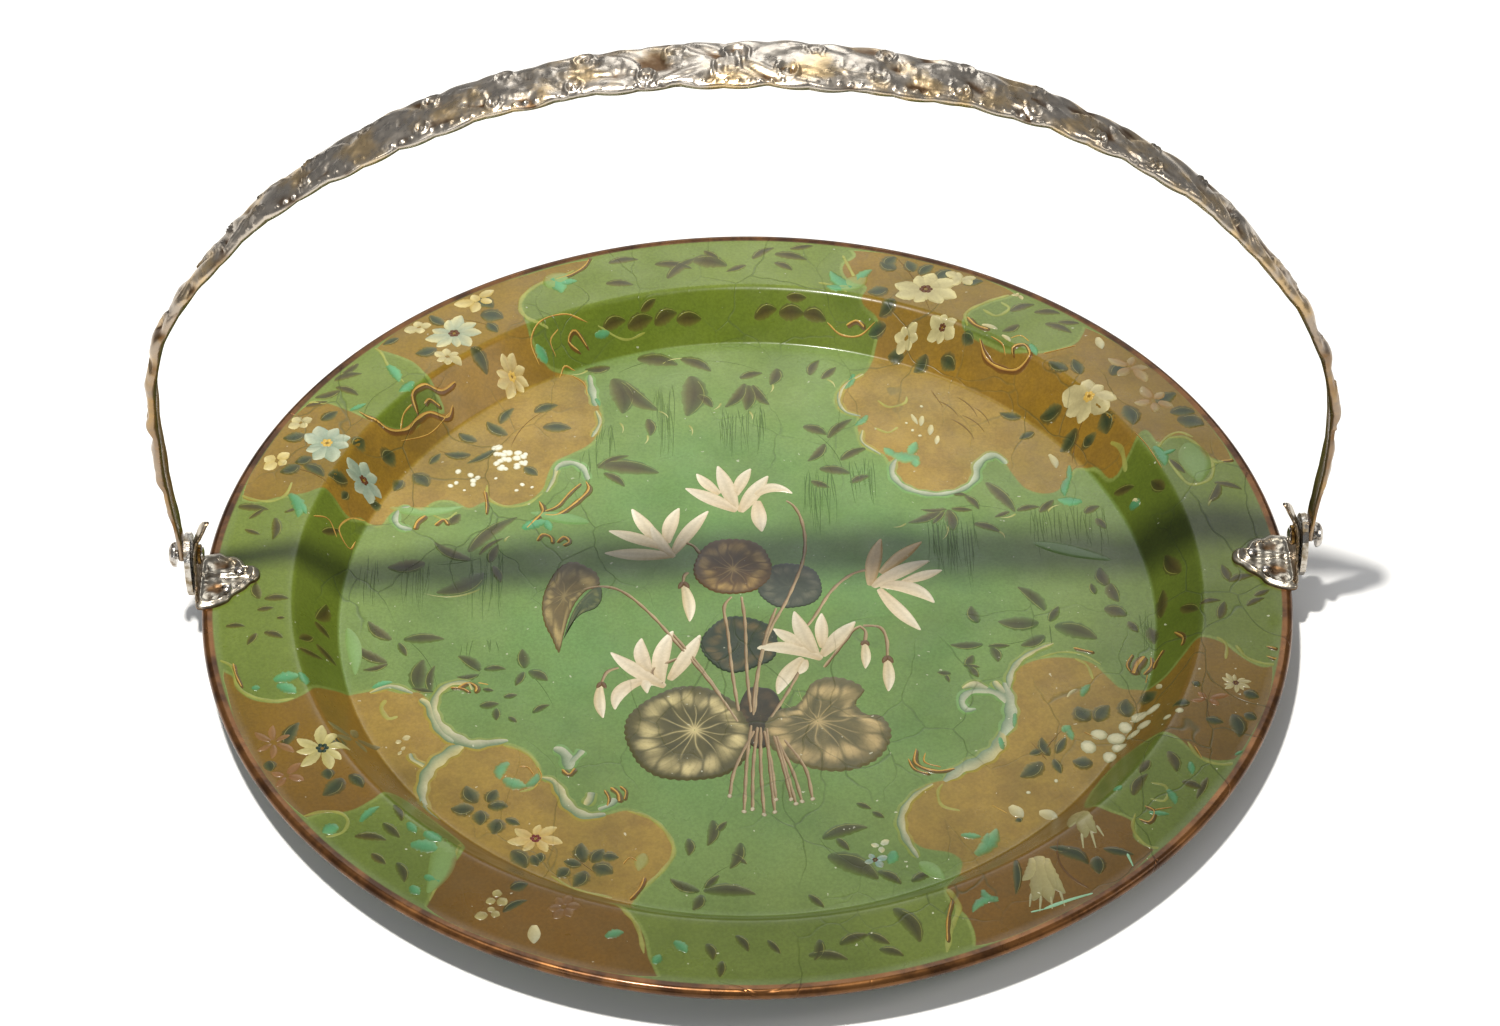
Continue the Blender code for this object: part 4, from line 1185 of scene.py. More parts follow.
# %% Leaf sprays on the green
SPRAY_LEAVES = [
    # left of the well and its wall and flange
    (-121, -13, -130, -3, 5, .1), (-118, -13, -103, -13, 5.5, .05), (-119, -14, -116, -21, 3.2, 0),
    (-122, -24, -134, -15, 5, .08), (-122, -24, -131, -27, 3, .1), (-111, -38, -110, -22, 7, .08),
    (-107, -39, -106, -25, 3.5, .1), (-106, -38, -114, -36, 3, 0), (-91, -29, -99, -21, 5, -.1),
    (-90, -28, -82, -28, 3.4, .1), (-91, -30, -99, -31, 3, .1), (-76, -28, -77, -18, 5, 0),
    (-75, -29, -68, -34, 5.2, .08), (-76, -29, -79, -36, 3.4, 0), (-90, -37, -86, -38, 2.6, 0),
    (-91, -45, -84, -44, 4.2, 0), (-85, -46, -85, -52, 3.4, 0), (-83, -41, -78, -40, 3, 0),
    (-81, -50, -78, -53, 2.6, 0), (-73, -49, -67, -45, 3.2, .1), (-97, 29, -79, 48, 6, .08),
    (-95, 26, -109, 36, 5, .1), (-111, 25, -125, 23, 7.5, .05), (-90, 20, -108, 10, 8.5, .12),
    (-89, 24, -86, 34, 4, .05), (-88, 23, -85, 14, 4, .05), (-93, 28, -84, 37, 2.4, .1),
    (-104, 44, -100, 50, 5, 0), (-165, -8, -167, 1, 4, .1), (-164, -8, -155, -8, 4, .1),
    (-166, -13, -160, -12, 3, 0), (-176, -21, -169, -21, 3, .1), (-165, -24, -168, -30, 3, 0),
    (-163, -24, -156, -27, 3.6, .1), (-159, -17, -156, -17, 2, 0), (-179, 39, -167, 37, 4.4, .05),
    (-172, 32, -166, 38, 2.4, 0), (-163, 33, -163, 21, 4, .1), (-160, 35, -154, 38, 2, 0),
    (-173, 27, -167, 24, 2.6, 0), (-147, -10, -144, 1, 4.5, -.1), (-147, -11, -142, -15, 4, 0),
    (-147, -20, -151, -26, 3.4, 0), (-146, -22, -139, -27, 4, 0), (-151, -31, -143, -28, 3.4, 0),
    (-147, 30, -141, 36, 3, 0),
    # right of the well and its wall and flange
    (71, 49, 57, 41, 4.6, .1), (72, 48, 62, 48, 2.6, .1), (72, 48, 73, 36, 5.5, .05), (73, 48, 81, 47, 3.2, 0),
    (71, 47, 66, 40, 3, 0), (72, 56, 80, 54, 3, .1), (78, 55, 83, 47, 3.6, .1), (86, 62, 96, 45, 5.5, .04),
    (94, 46, 88, 43, 2.6, 0), (96, 46, 105, 48, 3.6, .1), (104, 45, 110, 52, 4, 0), (80, 40, 90, 35, 4, .1),
    (102, -5, 93, 8, 5.5, -.1), (103, -10, 107, -2, 4, 0), (100, -10, 85, -9, 7.5, .06),
    (104, -12, 119, -19, 8.5, .08), (101, -16, 92, -21, 5.5, .1), (79, -10, 77, -1, 5, .1),
    (80, -20, 68, -20, 4.4, .05), (82, -21, 84, -29, 4.4, .1), (81, -21, 89, -21, 3, 0),
    (73, -31, 76, -25, 4, 0), (74, -30, 77, -36, 3.6, 0), (72, -30, 78, -31, 2.6, 0), (68, -34, 63, -33, 3, 0),
    (66, -34, 67, -38, 2, 0), (125, 7, 123, 17, 5.5, .1), (126, 9, 128, -1, 5.5, -.1), (120, 3, 119, 9, 3, 0),
    (122, -4, 130, -8, 7, .1), (130, -10, 133, -16, 4, 0), (149, 3, 145, 16, 5, .05),
    (141, -11, 143, 2, 4.4, 0), (137, -13, 138, -22, 5, 0), (147, -12, 152, -20, 4, 0),
    (152, -18, 160, -17, 3, .1), (164, -8, 162, 1, 4, 0), (163, -8, 173, -5, 4, .1), (171, -15, 177, -12, 3, 0),
    (168, -20, 175, -16, 3, .1), (158, -26, 161, -17, 4, 0), (161, 32, 166, 43, 4, -.1),
    (164, 42, 174, 38, 3.4, .1), (147, 41, 143, 48, 4, 0), (131, 53, 138, 50, 3.6, 0),
    (120, 44, 126, 48, 4, .1), (124, 42, 127, 36, 4, 0), (150, 55, 155, 47, 3.4, 0),
    # back of the well, the wall and the flange
    (-47, 122, -43, 101, 10, .12), (-43, 121, -29, 103, 8.5, -.12), (-18, 123, -20, 99, 10.5, .1),
    (-17, 112, -10, 104, 5, .1), (2, 118, -6, 104, 5.5, .1), (3, 117, 2, 102, 6.5, .06),
    (5, 117, 11, 105, 5.5, -.1), (0, 120, 9, 123, 4.5, .1), (14, 126, 11, 116, 5.5, .1),
    (-38, 132, -22, 128, 8, .1), (-22, 132, -10, 124, 6, .1), (-47, 128, -57, 127, 5, .1),
    (-34, 99, -33, 89, 4.6, .1), (-53, 74, -29, 69, 8.5, .06), (-52, 72, -40, 79, 4, .1),
    (-50, 70, -42, 62, 4, .1), (26, 121, 30, 130, 4.4, .1), (30, 119, 36, 126, 4, 0), (22, 93, 31, 88, 5.5, .1),
    (31, 86, 41, 97, 4.4, .08), (30, 84, 23, 74, 4.4, .1), (27, 70, 39, 67, 5.4, .08),
    (35, 74, 46, 81, 4.4, .1), (24, 64, 31, 60, 4, 0), (38, 62, 46, 66, 4, .1), (-48, 169, -36, 171, 4.4, .1),
    (-49, 157, -38, 156, 4.6, .1), (-31, 168, -16, 165, 5, .1), (-26, 159, -14, 172, 5, .08),
    (-17, 170, -3, 166, 8.5, .1), (-12, 176, -6, 170, 4, 0), (6, 170, 15, 177, 4, .1),
    (14, 173, 27, 169, 5, .08), (14, 168, 21, 163, 4, .1), (20, 176, 30, 178, 3.4, 0),
    (4, 167, -4, 163, 3.4, 0), (-50, 139, -41, 143, 4, .1), (-41, 141, -31, 145, 5, .05),
    (-31, 143, -22, 147, 4.6, .1), (-23, 145, -13, 146, 4.6, .05), (-36, 146, -30, 150, 3, 0),
    (6, 146, 15, 148, 4.4, .1), (15, 147, 25, 146, 5, .05), (24, 146, 33, 143, 4.4, .1),
    (18, 151, 26, 150, 3, 0),
    # front of the well and the flange
    (-14, -98, -16, -110, 4.6, .12), (-13, -104, -9, -99, 3, 0), (-22, -106, -22, -114, 4, .1),
    (-5, -108, -9, -120, 4.6, .1), (-8, -113, -3, -118, 3, 0), (-18, -129, -28, -123, 4.6, .1),
    (-18, -129, 0, -131, 6, .08), (-18, -130, -21, -137, 4.6, .1), (-17, -128, -12, -122, 3.4, 0),
    (21, -108, 37, -103, 6, .1), (26, -107, 30, -113, 3.6, 0), (22, -115, 39, -126, 9, .1),
    (38, -122, 46, -128, 4.6, .1), (49, -127, 57, -123, 4, .1), (16, -131, 21, -137, 3.4, 0),
    (33, -92, 38, -95, 3, 0), (38, -96, 42, -99, 3, 0), (-17, -164, -15, -171, 4, .1),
    (-12, -171, -13, -178, 3.6, 0), (-8, -161, -4, -168, 3.6, .1), (18, -163, 16, -172, 4, .1),
    (14, -170, 27, -172, 4.6, .1), (24, -166, 34, -162, 4.4, .1), (41, -151, 49, -166, 6.5, .12),
    (36, -168, 44, -171, 4, .1), (33, -161, 40, -166, 4, 0), (2, -163, 6, -169, 3, 0),
    # inside the green cartouches
    (-158, 112, -147, 116, 4, .1), (-150, 104, -160, 100, 4, .1), (-146, 101, -137, 96, 4, .1),
    (-140, 116, -147, 108, 3.4, 0), (-166, 96, -157, 99, 3, 0), (100, 137, 110, 141, 4.4, .1),
    (110, 138, 121, 137, 4, .1), (112, 130, 122, 124, 4.4, .1), (103, 130, 96, 126, 4, .1),
    (118, 132, 127, 131, 3.4, 0), (-116, -103, -113, -111, 3.6, .1), (-128, -117, -117, -119, 4, .1),
    (-114, -128, -111, -137, 4, .1), (-122, -124, -117, -129, 3.6, 0), (-119, -111, -113, -118, 4, 0),
    (134, -86, 136, -96, 4.6, .1), (121, -106, 127, -96, 4.4, .1), (137, -100, 144, -104, 4, .1),
    (146, -98, 141, -108, 3, 0), (128, -90, 124, -96, 4, 0),
]
sprays = Film("leaf_sprays", 0.05, 0.02)
rows = np.array(SPRAY_LEAVES, float)
brown = (rows[:, 1] > 20) | (np.abs(rows[:, 0]) > 120)
strokes(sprays, rows[~brown], "leaf", OLIVE, LEAF_BROWN, cover=0.97, edge=srgb(78, 82, 32), vein=0.25, jag=0.10)
strokes(sprays, rows[brown], "leaf", LEAF_BROWN, OLIVE, cover=0.97, edge=srgb(92, 78, 34), vein=0.25, jag=0.10)
twigs = [
    (-117, -12, -105, -40, .3, .1), (-90, -28, -106, -40, .3, .1), (-75, -29, -66, -46, .3, .05),
    (72, 48, 94, 46, .35, .1), (103, -11, 103, -22, .5, 0), (81, -20, 101, -15, .3, -.1),
    (-45, 124, -20, 132, .35, .1), (-18, 130, 8, 124, .35, .1), (-18, -129, -8, -118, .35, .1),
    (40, -127, 20, -106, .35, .1), (-92, 27, -108, 24, .4, .05), (26, 90, 36, 66, .35, .1),
]
edge_lights(sprays, rows, srgb(140, 134, 68))
strokes(sprays, twigs, "line", GRASS, cover=0.8)
tips = [
    (-44, 97, -43, 91), (-19, 95, -18, 89), (-30, 103, -26, 98), (-34, 90, -35, 85), (3, 102, 4, 97),
    (-7, 107, -10, 103), (12, 117, 11, 112), (32, 119, 35, 114), (-55, 127, -62, 124), (-29, 128, -20, 132),
    (96, 45, 90, 43), (57, 41, 52, 39), (89, 36, 91, 32), (107, 45, 112, 49), (71, 40, 69, 32),
    (161, 30, 165, 35), (-84, 35, -82, 38), (-91, 12, -112, 10),
]
strokes(sprays, [(*tip, 1.0, .15) for tip in tips], "comma", YELLOW_GREEN, CREAM, cover=0.85)
sprays.finish()

# %% [markdown]
# ## Scrolls
# Pale rocaille scrolls edge the ochre grounds. Each is a ribbon through a few points, cream and grey with
# a turquoise or green shaded side, and the ends swell into hooks, claws and tufts of gold.

# %% Pale scrolls
pale = Film("scrolls_pale", 0.14)
under = Film("scrolls_green", 0.05, 0.02)
# Each row: the path, the widths along it, and 1 for grey with a mint bed or 0 for cream with a green one.
SCROLL_PATHS = [
    # front left
    ([(-93, -38), (-95, -34), (-101, -34.5), (-105, -39), (-106, -46), (-104, -53), (-99, -59), (-93, -62.5),
      (-86, -62), (-80, -61)], [1.6, 2.2, 2.6, 3.4, 4.6, 4.0, 2.4], 0),
    ([(-111, -41), (-108, -44), (-106, -50), (-103, -57), (-98, -62)], [2.4, 3.4, 2.6], 0),
    ([(-95, -62.5), (-101, -67), (-106.5, -74), (-108.5, -83), (-106.5, -92), (-102, -97)], [4.5, 5.0, 4.2, 2.4,
      1.0], 0),
    ([(-108, -72), (-112, -69), (-113, -66)], [1.8, 1.2], 0),
    ([(-70, -78), (-66, -79.5), (-63.5, -84), (-60.5, -91), (-55, -95.5), (-48, -95)], [1.2, 3.4, 3.8, 2.2], 0),
    ([(-66, -65), (-63, -66.5), (-61, -70), (-60.5, -75)], [2.4, 4.6, 4.0], 1),
    ([(-56, -66), (-58, -69), (-61, -72)], [2.4, 3.0], 1),
    ([(-55, -91), (-53.5, -88), (-53, -85)], [2.2, 3.6], 0),
    ([(-51, -93), (-47, -91), (-45, -88)], [1.6, 2.8], 1),
    # front right
    ([(104, -20), (98, -23), (92, -27.5), (88, -34), (86.5, -42)], [.8, 1.8, 2.4, 2.2], 0),
    ([(86, -49), (84, -44.5), (79, -42), (73, -43), (70.5, -47), (72, -51), (75.5, -50.5)], [3.4, 3.0, 2.6, 2.8,
      2.0], 1),
    ([(71, -41), (75, -39.5), (80, -42)], [1.6, 4.0, 3.0], 0),
    ([(82, -37.5), (83, -40), (85.5, -44)], [1.6, 3.6, 3.0], 0),
    ([(85.5, -38), (86.5, -48), (86, -56), (82.5, -64)], [2.2, 4.2, 4.4, 3.6], 1),
    ([(83.5, -60), (81, -68), (75, -74), (68, -78), (62, -83.5)], [3.2, 5.0, 5.2, 4.6, 3.2], 0),
    ([(59, -84), (52, -89.5), (47.5, -98), (48, -107), (52, -117)], [1.2, 1.8, 2.8, 2.6, 1.6], 0),
    # back right
    ([(57, 77), (54, 72), (53.5, 66), (57, 60), (63, 56.5), (70, 55.5), (78, 58), (83, 63.5), (84, 69.5), (87,
      74), (91, 75.5), (94, 72), (94, 70)], [1.6, 2.4, 2.6, 2.4, 2.2, 2.4, 3.0, 3.6, 2.8], 1),
    ([(46, 122), (39, 116), (36, 108), (38, 101), (44, 98)], [1.0, 1.6, 1.0], 0),
    ([(44, 91), (43.5, 84), (50, 77)], [1.0, 1.2], 0),
    # back left
    ([(-67, 70), (-65.5, 74), (-61, 75.5), (-57, 72.5), (-55, 66)], [1.6, 3.0, 2.6, 2.4], 1),
    ([(-66.5, 73), (-67.5, 67), (-70, 60)], [2.0, 1.2], 0),
    ([(-117.5, 54), (-121.5, 52.5), (-123, 47.5), (-121, 43.5), (-116.5, 42)], [1.4, 2.4, 2.0], 1),
    ([(-55, 124), (-54, 115), (-52.5, 106)], [1.4, 3.2, 2.4], 1),
    ([(-52.5, 104), (-51, 97), (-54, 89)], [1.4, 1.4], 0),
    ([(-128, -38), (-121, -35), (-113, -38.5)], [1.0, 2.2, 1.4], 0),
]
for path, width, cool in SCROLL_PATHS:
    ribbon(under, path, np.array(width) + 2.0, MINT if cool else YELLOW_GREEN, cover=0.55, taper=0.6)
    ribbon(pale, path, width, PALE_GREY if cool else SCROLL_CREAM, PALE_BLUE if cool else PALE_GREY,
        edge=srgb(104, 128, 96), taper=0.55)
pale.finish()
# Each row: the path of a yellow-green edging and its width.
HALO_PATHS = [
    ([(-83, -63), (-76, -66), (-71.5, -71), (-70, -77), (-72, -82.5), (-77, -84.5)], 1.3),
    ([(-42, -93.5), (-34, -97), (-28.5, -104), (-26.5, -112), (-30, -119.5), (-38, -129)], 1.6),
    ([(-122, -41), (-123.5, -45), (-121, -50), (-117.5, -49)], 1.8),
    ([(62, -84), (60, -88), (61, -94), (67, -96.5)], 1.3),
    ([(-178, 46), (-172, 42.5), (-165, 41), (-160, 44), (-158, 51)], 1.3),
    ([(-91, 65), (-90.5, 58), (-85, 53.5), (-77, 54), (-71, 60)], 1.3),
    ([(-112, 55), (-110, 50), (-105, 47), (-101, 51)], 1.2),
    ([(-60, 166), (-66, 161), (-73, 158), (-79, 151), (-80, 143), (-76, 137), (-69, 135)], 1.8),
    ([(-139, 125), (-131, 121), (-127, 112), (-121, 103)], 1.2),
    ([(-176, 88), (-166, 90), (-156, 93), (-148, 92)], 1.2),
    ([(84, 129), (84, 137), (92, 143), (101, 147)], 1.4), ([(90, 139), (95, 135), (100, 139), (97, 143)], 1.4),
    ([(50, 107), (54, 103), (60, 105), (61, 109)], 1.2), ([(48, 92), (53, 89), (57, 92)], 1.2),
    ([(150, 66), (157, 66), (162, 60), (165, 52), (163, 44), (156, 41.5), (152, 48), (149, 56)], 1.4),
    ([(146, 60), (150, 66), (155, 69), (160, 66)], 1.2), ([(110, -27.5), (114, -31), (115.5, -38)], 1.2),
    ([(98, -27), (106, -24.5), (113, -26), (119, -31)], 1.0),
    ([(-145, -108), (-139, -106), (-133, -106.5), (-130, -110), (-131.5, -115), (-137, -117)], 1.3),
    ([(-94, -116), (-95, -124), (-99, -133), (-103, -145)], 1.2),
    ([(141, -82), (144, -89), (150, -92.5), (158, -92)], 1.4),
    ([(127, -100), (132, -102), (131, -108), (126, -107)], 1.1),
    ([(121, -113), (119.5, -120), (123, -127), (130, -129)], 1.2),
    ([(162, -38), (165, -44), (170, -47), (176, -48)], 1.3), ([(156, -34), (159, -38), (158, -45)], 1.2),
    ([(176, 57), (171, 53.5), (166, 53), (163, 57)], 1.4),
    ([(-178, -36), (-172, -40), (-170, -48), (-166, -53), (-158, -56), (-150, -55)], 1.4),
    ([(58, -142), (62, -151), (59, -160), (57, -170)], 2.0),
    ([(-48, -142), (-42, -150), (-38, -157), (-36, -168)], 1.6), ([(40, 172), (42, 165), (44, 158)], 1.4),
    ([(131, 71), (134.5, 66), (135.5, 57)], 1.6), ([(-34, 141), (-42, 138), (-52, 140)], .7),
    ([(30, 156), (36, 154), (41, 150)], 1.2), ([(-66, -121), (-58, -127), (-46, -131)], 1.1),
]
for path, width in HALO_PATHS:
    ribbon(under, path, width, YELLOW_GREEN, srgb(160, 164, 88), cover=0.8, taper=0.8)
under.finish()

# %% [markdown]
# Turquoise leaves and blots are set beside the scrolls, thick in the middle and thin at the ends.

# %% Turquoise touches
blue = Film("turquoise_touches", 0.16)
TURQUOISE_ROWS = [
    (64, 75, 53, 78, 6.5, .1), (60, 76, 63, 84, 4.4, 0), (55, 76, 51, 81, 4, 0), (62, 75, 62, 70, 4, 0),
    (42, 122, 38, 113, 3, .1), (46, 99, 41, 93, 3.2, .1), (117, 70, 116, 60, 2.4, 0),
    (117, 64, 114, 53, 3.4, -.1), (120, 51, 111, 52, 5, .1), (145, 62, 148, 51, 4.6, .1),
    (147, 57, 153, 60, 2.4, 0), (45, 152, 35, 163, 5.5, .15), (44, 155, 51, 163, 4.4, .1),
    (41, 153, 33, 154, 4, .1), (106, 119, 108, 112, 3.4, 0), (-78, 41, -69, 45, 5.5, .1),
    (-70, 46, -68, 40, 3.4, 0), (-159, 45, -155, 32, 5, .15), (-155, 41, -152, 34, 3, 0),
    (-128, 113, -123, 103, 4.4, .1), (-118, 104, -123, 98, 4.4, .1), (-70, 162, -65, 152, 7, .1),
    (-66, 157, -59, 159, 4, .1), (-53, 137, -47, 139, 2.6, 0), (-70, 126, -74, 130, 4.4, .1),
    (-80, -71, -83, -79, 4.6, -.2), (-82, -78, -74, -82, 5.5, -.1), (-75, -82, -71, -76, 4, -.2),
    (-158, -47, -149, -45, 5.5, .1), (-157, -49, -150, -53, 5, .1), (-150, -43, -147, -49, 3.6, .1),
    (-165, -50, -162, -50, 3, 0), (82.5, -70, 82, -63, 3, 0), (88, -52, 87, -60, 2.2, 0),
    (111, -46, 114.5, -40, 3.2, .1), (70, -116, 78, -104, 6, -.1), (66, -107, 73, -108, 3.2, 0),
    (74, -115, 75, -106, 4.4, 0), (70, -144, 75, -149, 3.4, -.25), (75, -148, 66, -154, 3.6, -.2),
    (103, -62, 106, -59, 4, 0), (105, -60, 106, -66, 3, 0), (-111, -111, -108, -116, 3.4, 0),
    (-106, -116, -100, -120, 5.5, .1), (-110, -121, -100, -124, 6, .1), (-133, -112, -138, -115, 5.5, 0),
    (-126, -111, -120, -104, 3.2, .1), (-105, -134, -99, -137, 4, 0), (-109, -138, -106, -142, 4, 0),
    (141, -91, 141, -97, 2.8, 0), (132, -103, 134, -110, 3.2, .1), (125, -113, 132, -114, 2.4, 0),
    (115, -103, 118, -101, 3, 0), (44, -113, 42, -119, 4.4, .1), (-48, -161, -42, -159, 4, .1),
    (-27, -163, -23, -168, 4, .1), (-33, -172, -31, -168, 3.6, 0), (156, -89, 159, -87, 1.6, 0),
    (-127, -36, -120, -33, 3, .1), (-53, 111, -51, 106, 2.2, 0), (136, 45, 139, 42, 4, 0),
    (-140, 88, -134, 92, 2.6, 0),
]
strokes(blue, TURQUOISE_ROWS, "petal", TURQUOISE, srgb(104, 170, 122), cover=0.88, edge=srgb(64, 128, 92), jag=0.16)
MINT_ROWS = [
    (-137, -6, -133, -30, 5.5, .05), (157, 64, 159, 42, 12, .05), (-126, 54, -98, 54, 5, -.1),
    (48, 160, 36, 152, 8, .1), (-70, 155, -62, 163, 10, .1), (-54, 44, -76, 50, 6, 0), (100, 30, 128, 20, 6, 0),
    (-100, -116, -104, -142, 9, .1), (52, -118, 60, -126, 6, 0), (-36, -112, -38, -120, 5, 0),
]
strokes(blue, MINT_ROWS, "leaf", MINT, srgb(150, 190, 136), cover=0.4)
strokes(blue, [(88, -153, 105, -146.5, 1.7, .02), (84, -154, 90, -152.5, .8, 0), (116.5, -130, 118, -136, 1.2, 0)],
    "line", srgb(150, 196, 160))
blue.finish()

# %% [markdown]
# Gold is drawn last on the scrolls: thin bright lines, with a dark brown line beside the heavy ones.

# %% Gold lines and claws
gold = Film("gold_lines", 0.18)
shade = Film("gold_shadows", 0.13)
# Each row: the path and its width before it is halved; a heavy one gets a dark line beside it.
HEAVY = 1.2
DARK_SHIFT = [0.35, -0.45]
GOLD_PATHS = [
    ([(-56, 66), (-55, 61), (-60, 54), (-66, 48.5), (-72, 49)], 2.0),
    ([(-57.5, 65), (-61.5, 60), (-66, 53), (-71, 50)], 1.4),
    ([(-72.5, 56), (-71, 50.5), (-74, 45.5), (-77, 41)], 1.8),
    ([(-73, 35), (-71, 38.5), (-68, 37), (-67.5, 33.5)], 1.5),
    ([(-66, 34), (-63.5, 37), (-61.5, 34.5), (-64, 32.5)], 1.6), ([(-116, 42), (-115, 46), (-112, 49.5)], 2.2),
    ([(-109, 44), (-106, 47), (-104, 44)], 1.6), ([(-92, 62), (-91, 55), (-91, 49)], 1.2),
    ([(-133, 46), (-138, 43), (-141.5, 36), (-138, 31), (-136, 36)], 1.0),
    ([(-150, 34), (-145, 37), (-142, 32)], .9),
    ([(-104, 102), (-106, 97), (-112, 95.5), (-116.5, 91), (-120, 86), (-126, 82.5), (-132, 84), (-137, 88)],
      1.7),
    ([(-103, 109), (-108, 104), (-114, 103), (-118, 98), (-116, 92)], 1.6),
    ([(-108, 99), (-112, 99.5), (-114, 97)], 1.2), ([(-122, 84), (-121, 90), (-118, 95)], 1.0),
    ([(-54, 177), (-56, 169), (-61, 163.5), (-68, 160)], 1.3),
    ([(-73, 124), (-76, 130), (-72, 137), (-64, 140.5), (-55, 140)], 1.1),
    ([(-55, 133), (-60, 137), (-62.5, 133.5), (-58, 131.5)], 1.2), ([(-66, 136), (-69, 132), (-67, 128)], .8),
    ([(-66, 122), (-64, 126.5), (-60, 126)], 1.0), ([(-62, 124), (-57, 119), (-55.5, 112)], .9),
    ([(33, 143), (38, 139), (45, 137.5), (51, 140)], 1.0), ([(40, 141), (44, 141.5), (47, 139)], 1.3),
    ([(88, 125), (90, 118.5), (95, 113.5), (101, 110.5), (105.5, 113), (104, 118.5), (99.5, 117.5), (100, 114)],
      1.7),
    ([(84, 135), (87, 130), (92, 127)], 2.0), ([(92, 124), (96, 120), (97, 116)], 1.0),
    ([(110, 113), (116, 115), (123, 117.5)], 1.0), ([(54, -68), (53.5, -75), (60, -78.5), (67, -77.5)], 1.7),
    ([(57, -70), (56.5, -74.5), (62, -77)], 1.1), ([(51, -72.5), (53, -77.5), (58, -80)], 1.2),
    ([(-99, -37), (-95, -34), (-92, -36), (-92.5, -39)], 1.8), ([(-101, -36), (-97, -36.5), (-94, -38.5)], 1.3),
    ([(-47, -83), (-44.5, -86), (-44, -90)], 2.0), ([(-49, -84), (-47.5, -88), (-48, -92)], 1.3),
    ([(-44, -82.5), (-42, -85), (-42.5, -89)], 1.2), ([(-63, -74.5), (-60.5, -77), (-58.5, -74)], 1.8),
    ([(-36, -122), (-37.5, -127), (-41, -132)], 1.4), ([(-43, -117), (-40.5, -114), (-38, -116)], .9),
    ([(-77, -73), (-74, -73.5), (-72, -77)], 1.0), ([(-71, -73), (-69.5, -78), (-72, -83)], .8),
    ([(134, -27), (131, -31), (129, -36)], 3.6), ([(136, -27.5), (135.5, -32), (132.5, -36)], 1.5),
    ([(130, -26), (127.5, -31), (128.5, -35)], 1.2), ([(134, -36), (133, -40)], .9),
    ([(140, -27), (137, -31), (136, -34)], 1.4), ([(144, -22), (146, -28), (145, -32)], 1.4),
    ([(172, -39), (176, -41), (175, -45), (171.5, -43.5)], 1.4), ([(176, 57), (172, 54), (168, 53.5)], 1.2),
    ([(106, 120), (103, 123.5), (99, 122)], .9),
    ([(124, -110), (127, -112.5), (125, -117), (121.5, -115.5)], 1.3), ([(127, -112), (133, -111)], .9),
    ([(143, -84), (145, -90)], 1.0), ([(-172, -38), (-170.5, -44), (-168, -50)], 1.2),
    ([(110, -62), (115, -66)], .7), ([(60, -148), (58, -157), (57.5, -166)], 1.3),
    ([(45, 122), (37.5, 114.5), (36, 107)], .7), ([(-178, 45), (-174, 47)], 1.0),
    ([(110, -22.5), (117, -25)], 1.4), ([(-88, -35), (-91.5, -34)], 1.0), ([(82, -98), (77, -94)], .6),
    ([(-122, 81), (-112, 89), (-105, 99)], .7), ([(139, 70), (143, 62), (147, 50)], .7),
]
for path, width in GOLD_PATHS:
    if width >= HEAVY:
        ribbon(shade, np.array(path) + DARK_SHIFT, width * 1.25, GOLD_DARK, cover=0.85)
    ribbon(gold, path, width * 0.5, GOLD, srgb(214, 178, 92), edge=srgb(150, 98, 40))
shade.finish()
gold.finish()

# %% [markdown]
# ## Flowers on the ochre
# Small bunches lie on the ochre grounds: slate-green leaves first, then cream and blue-white petals with
# gold middles, white berries, and on the darker front flange two hanging bells and a few faded flowers.

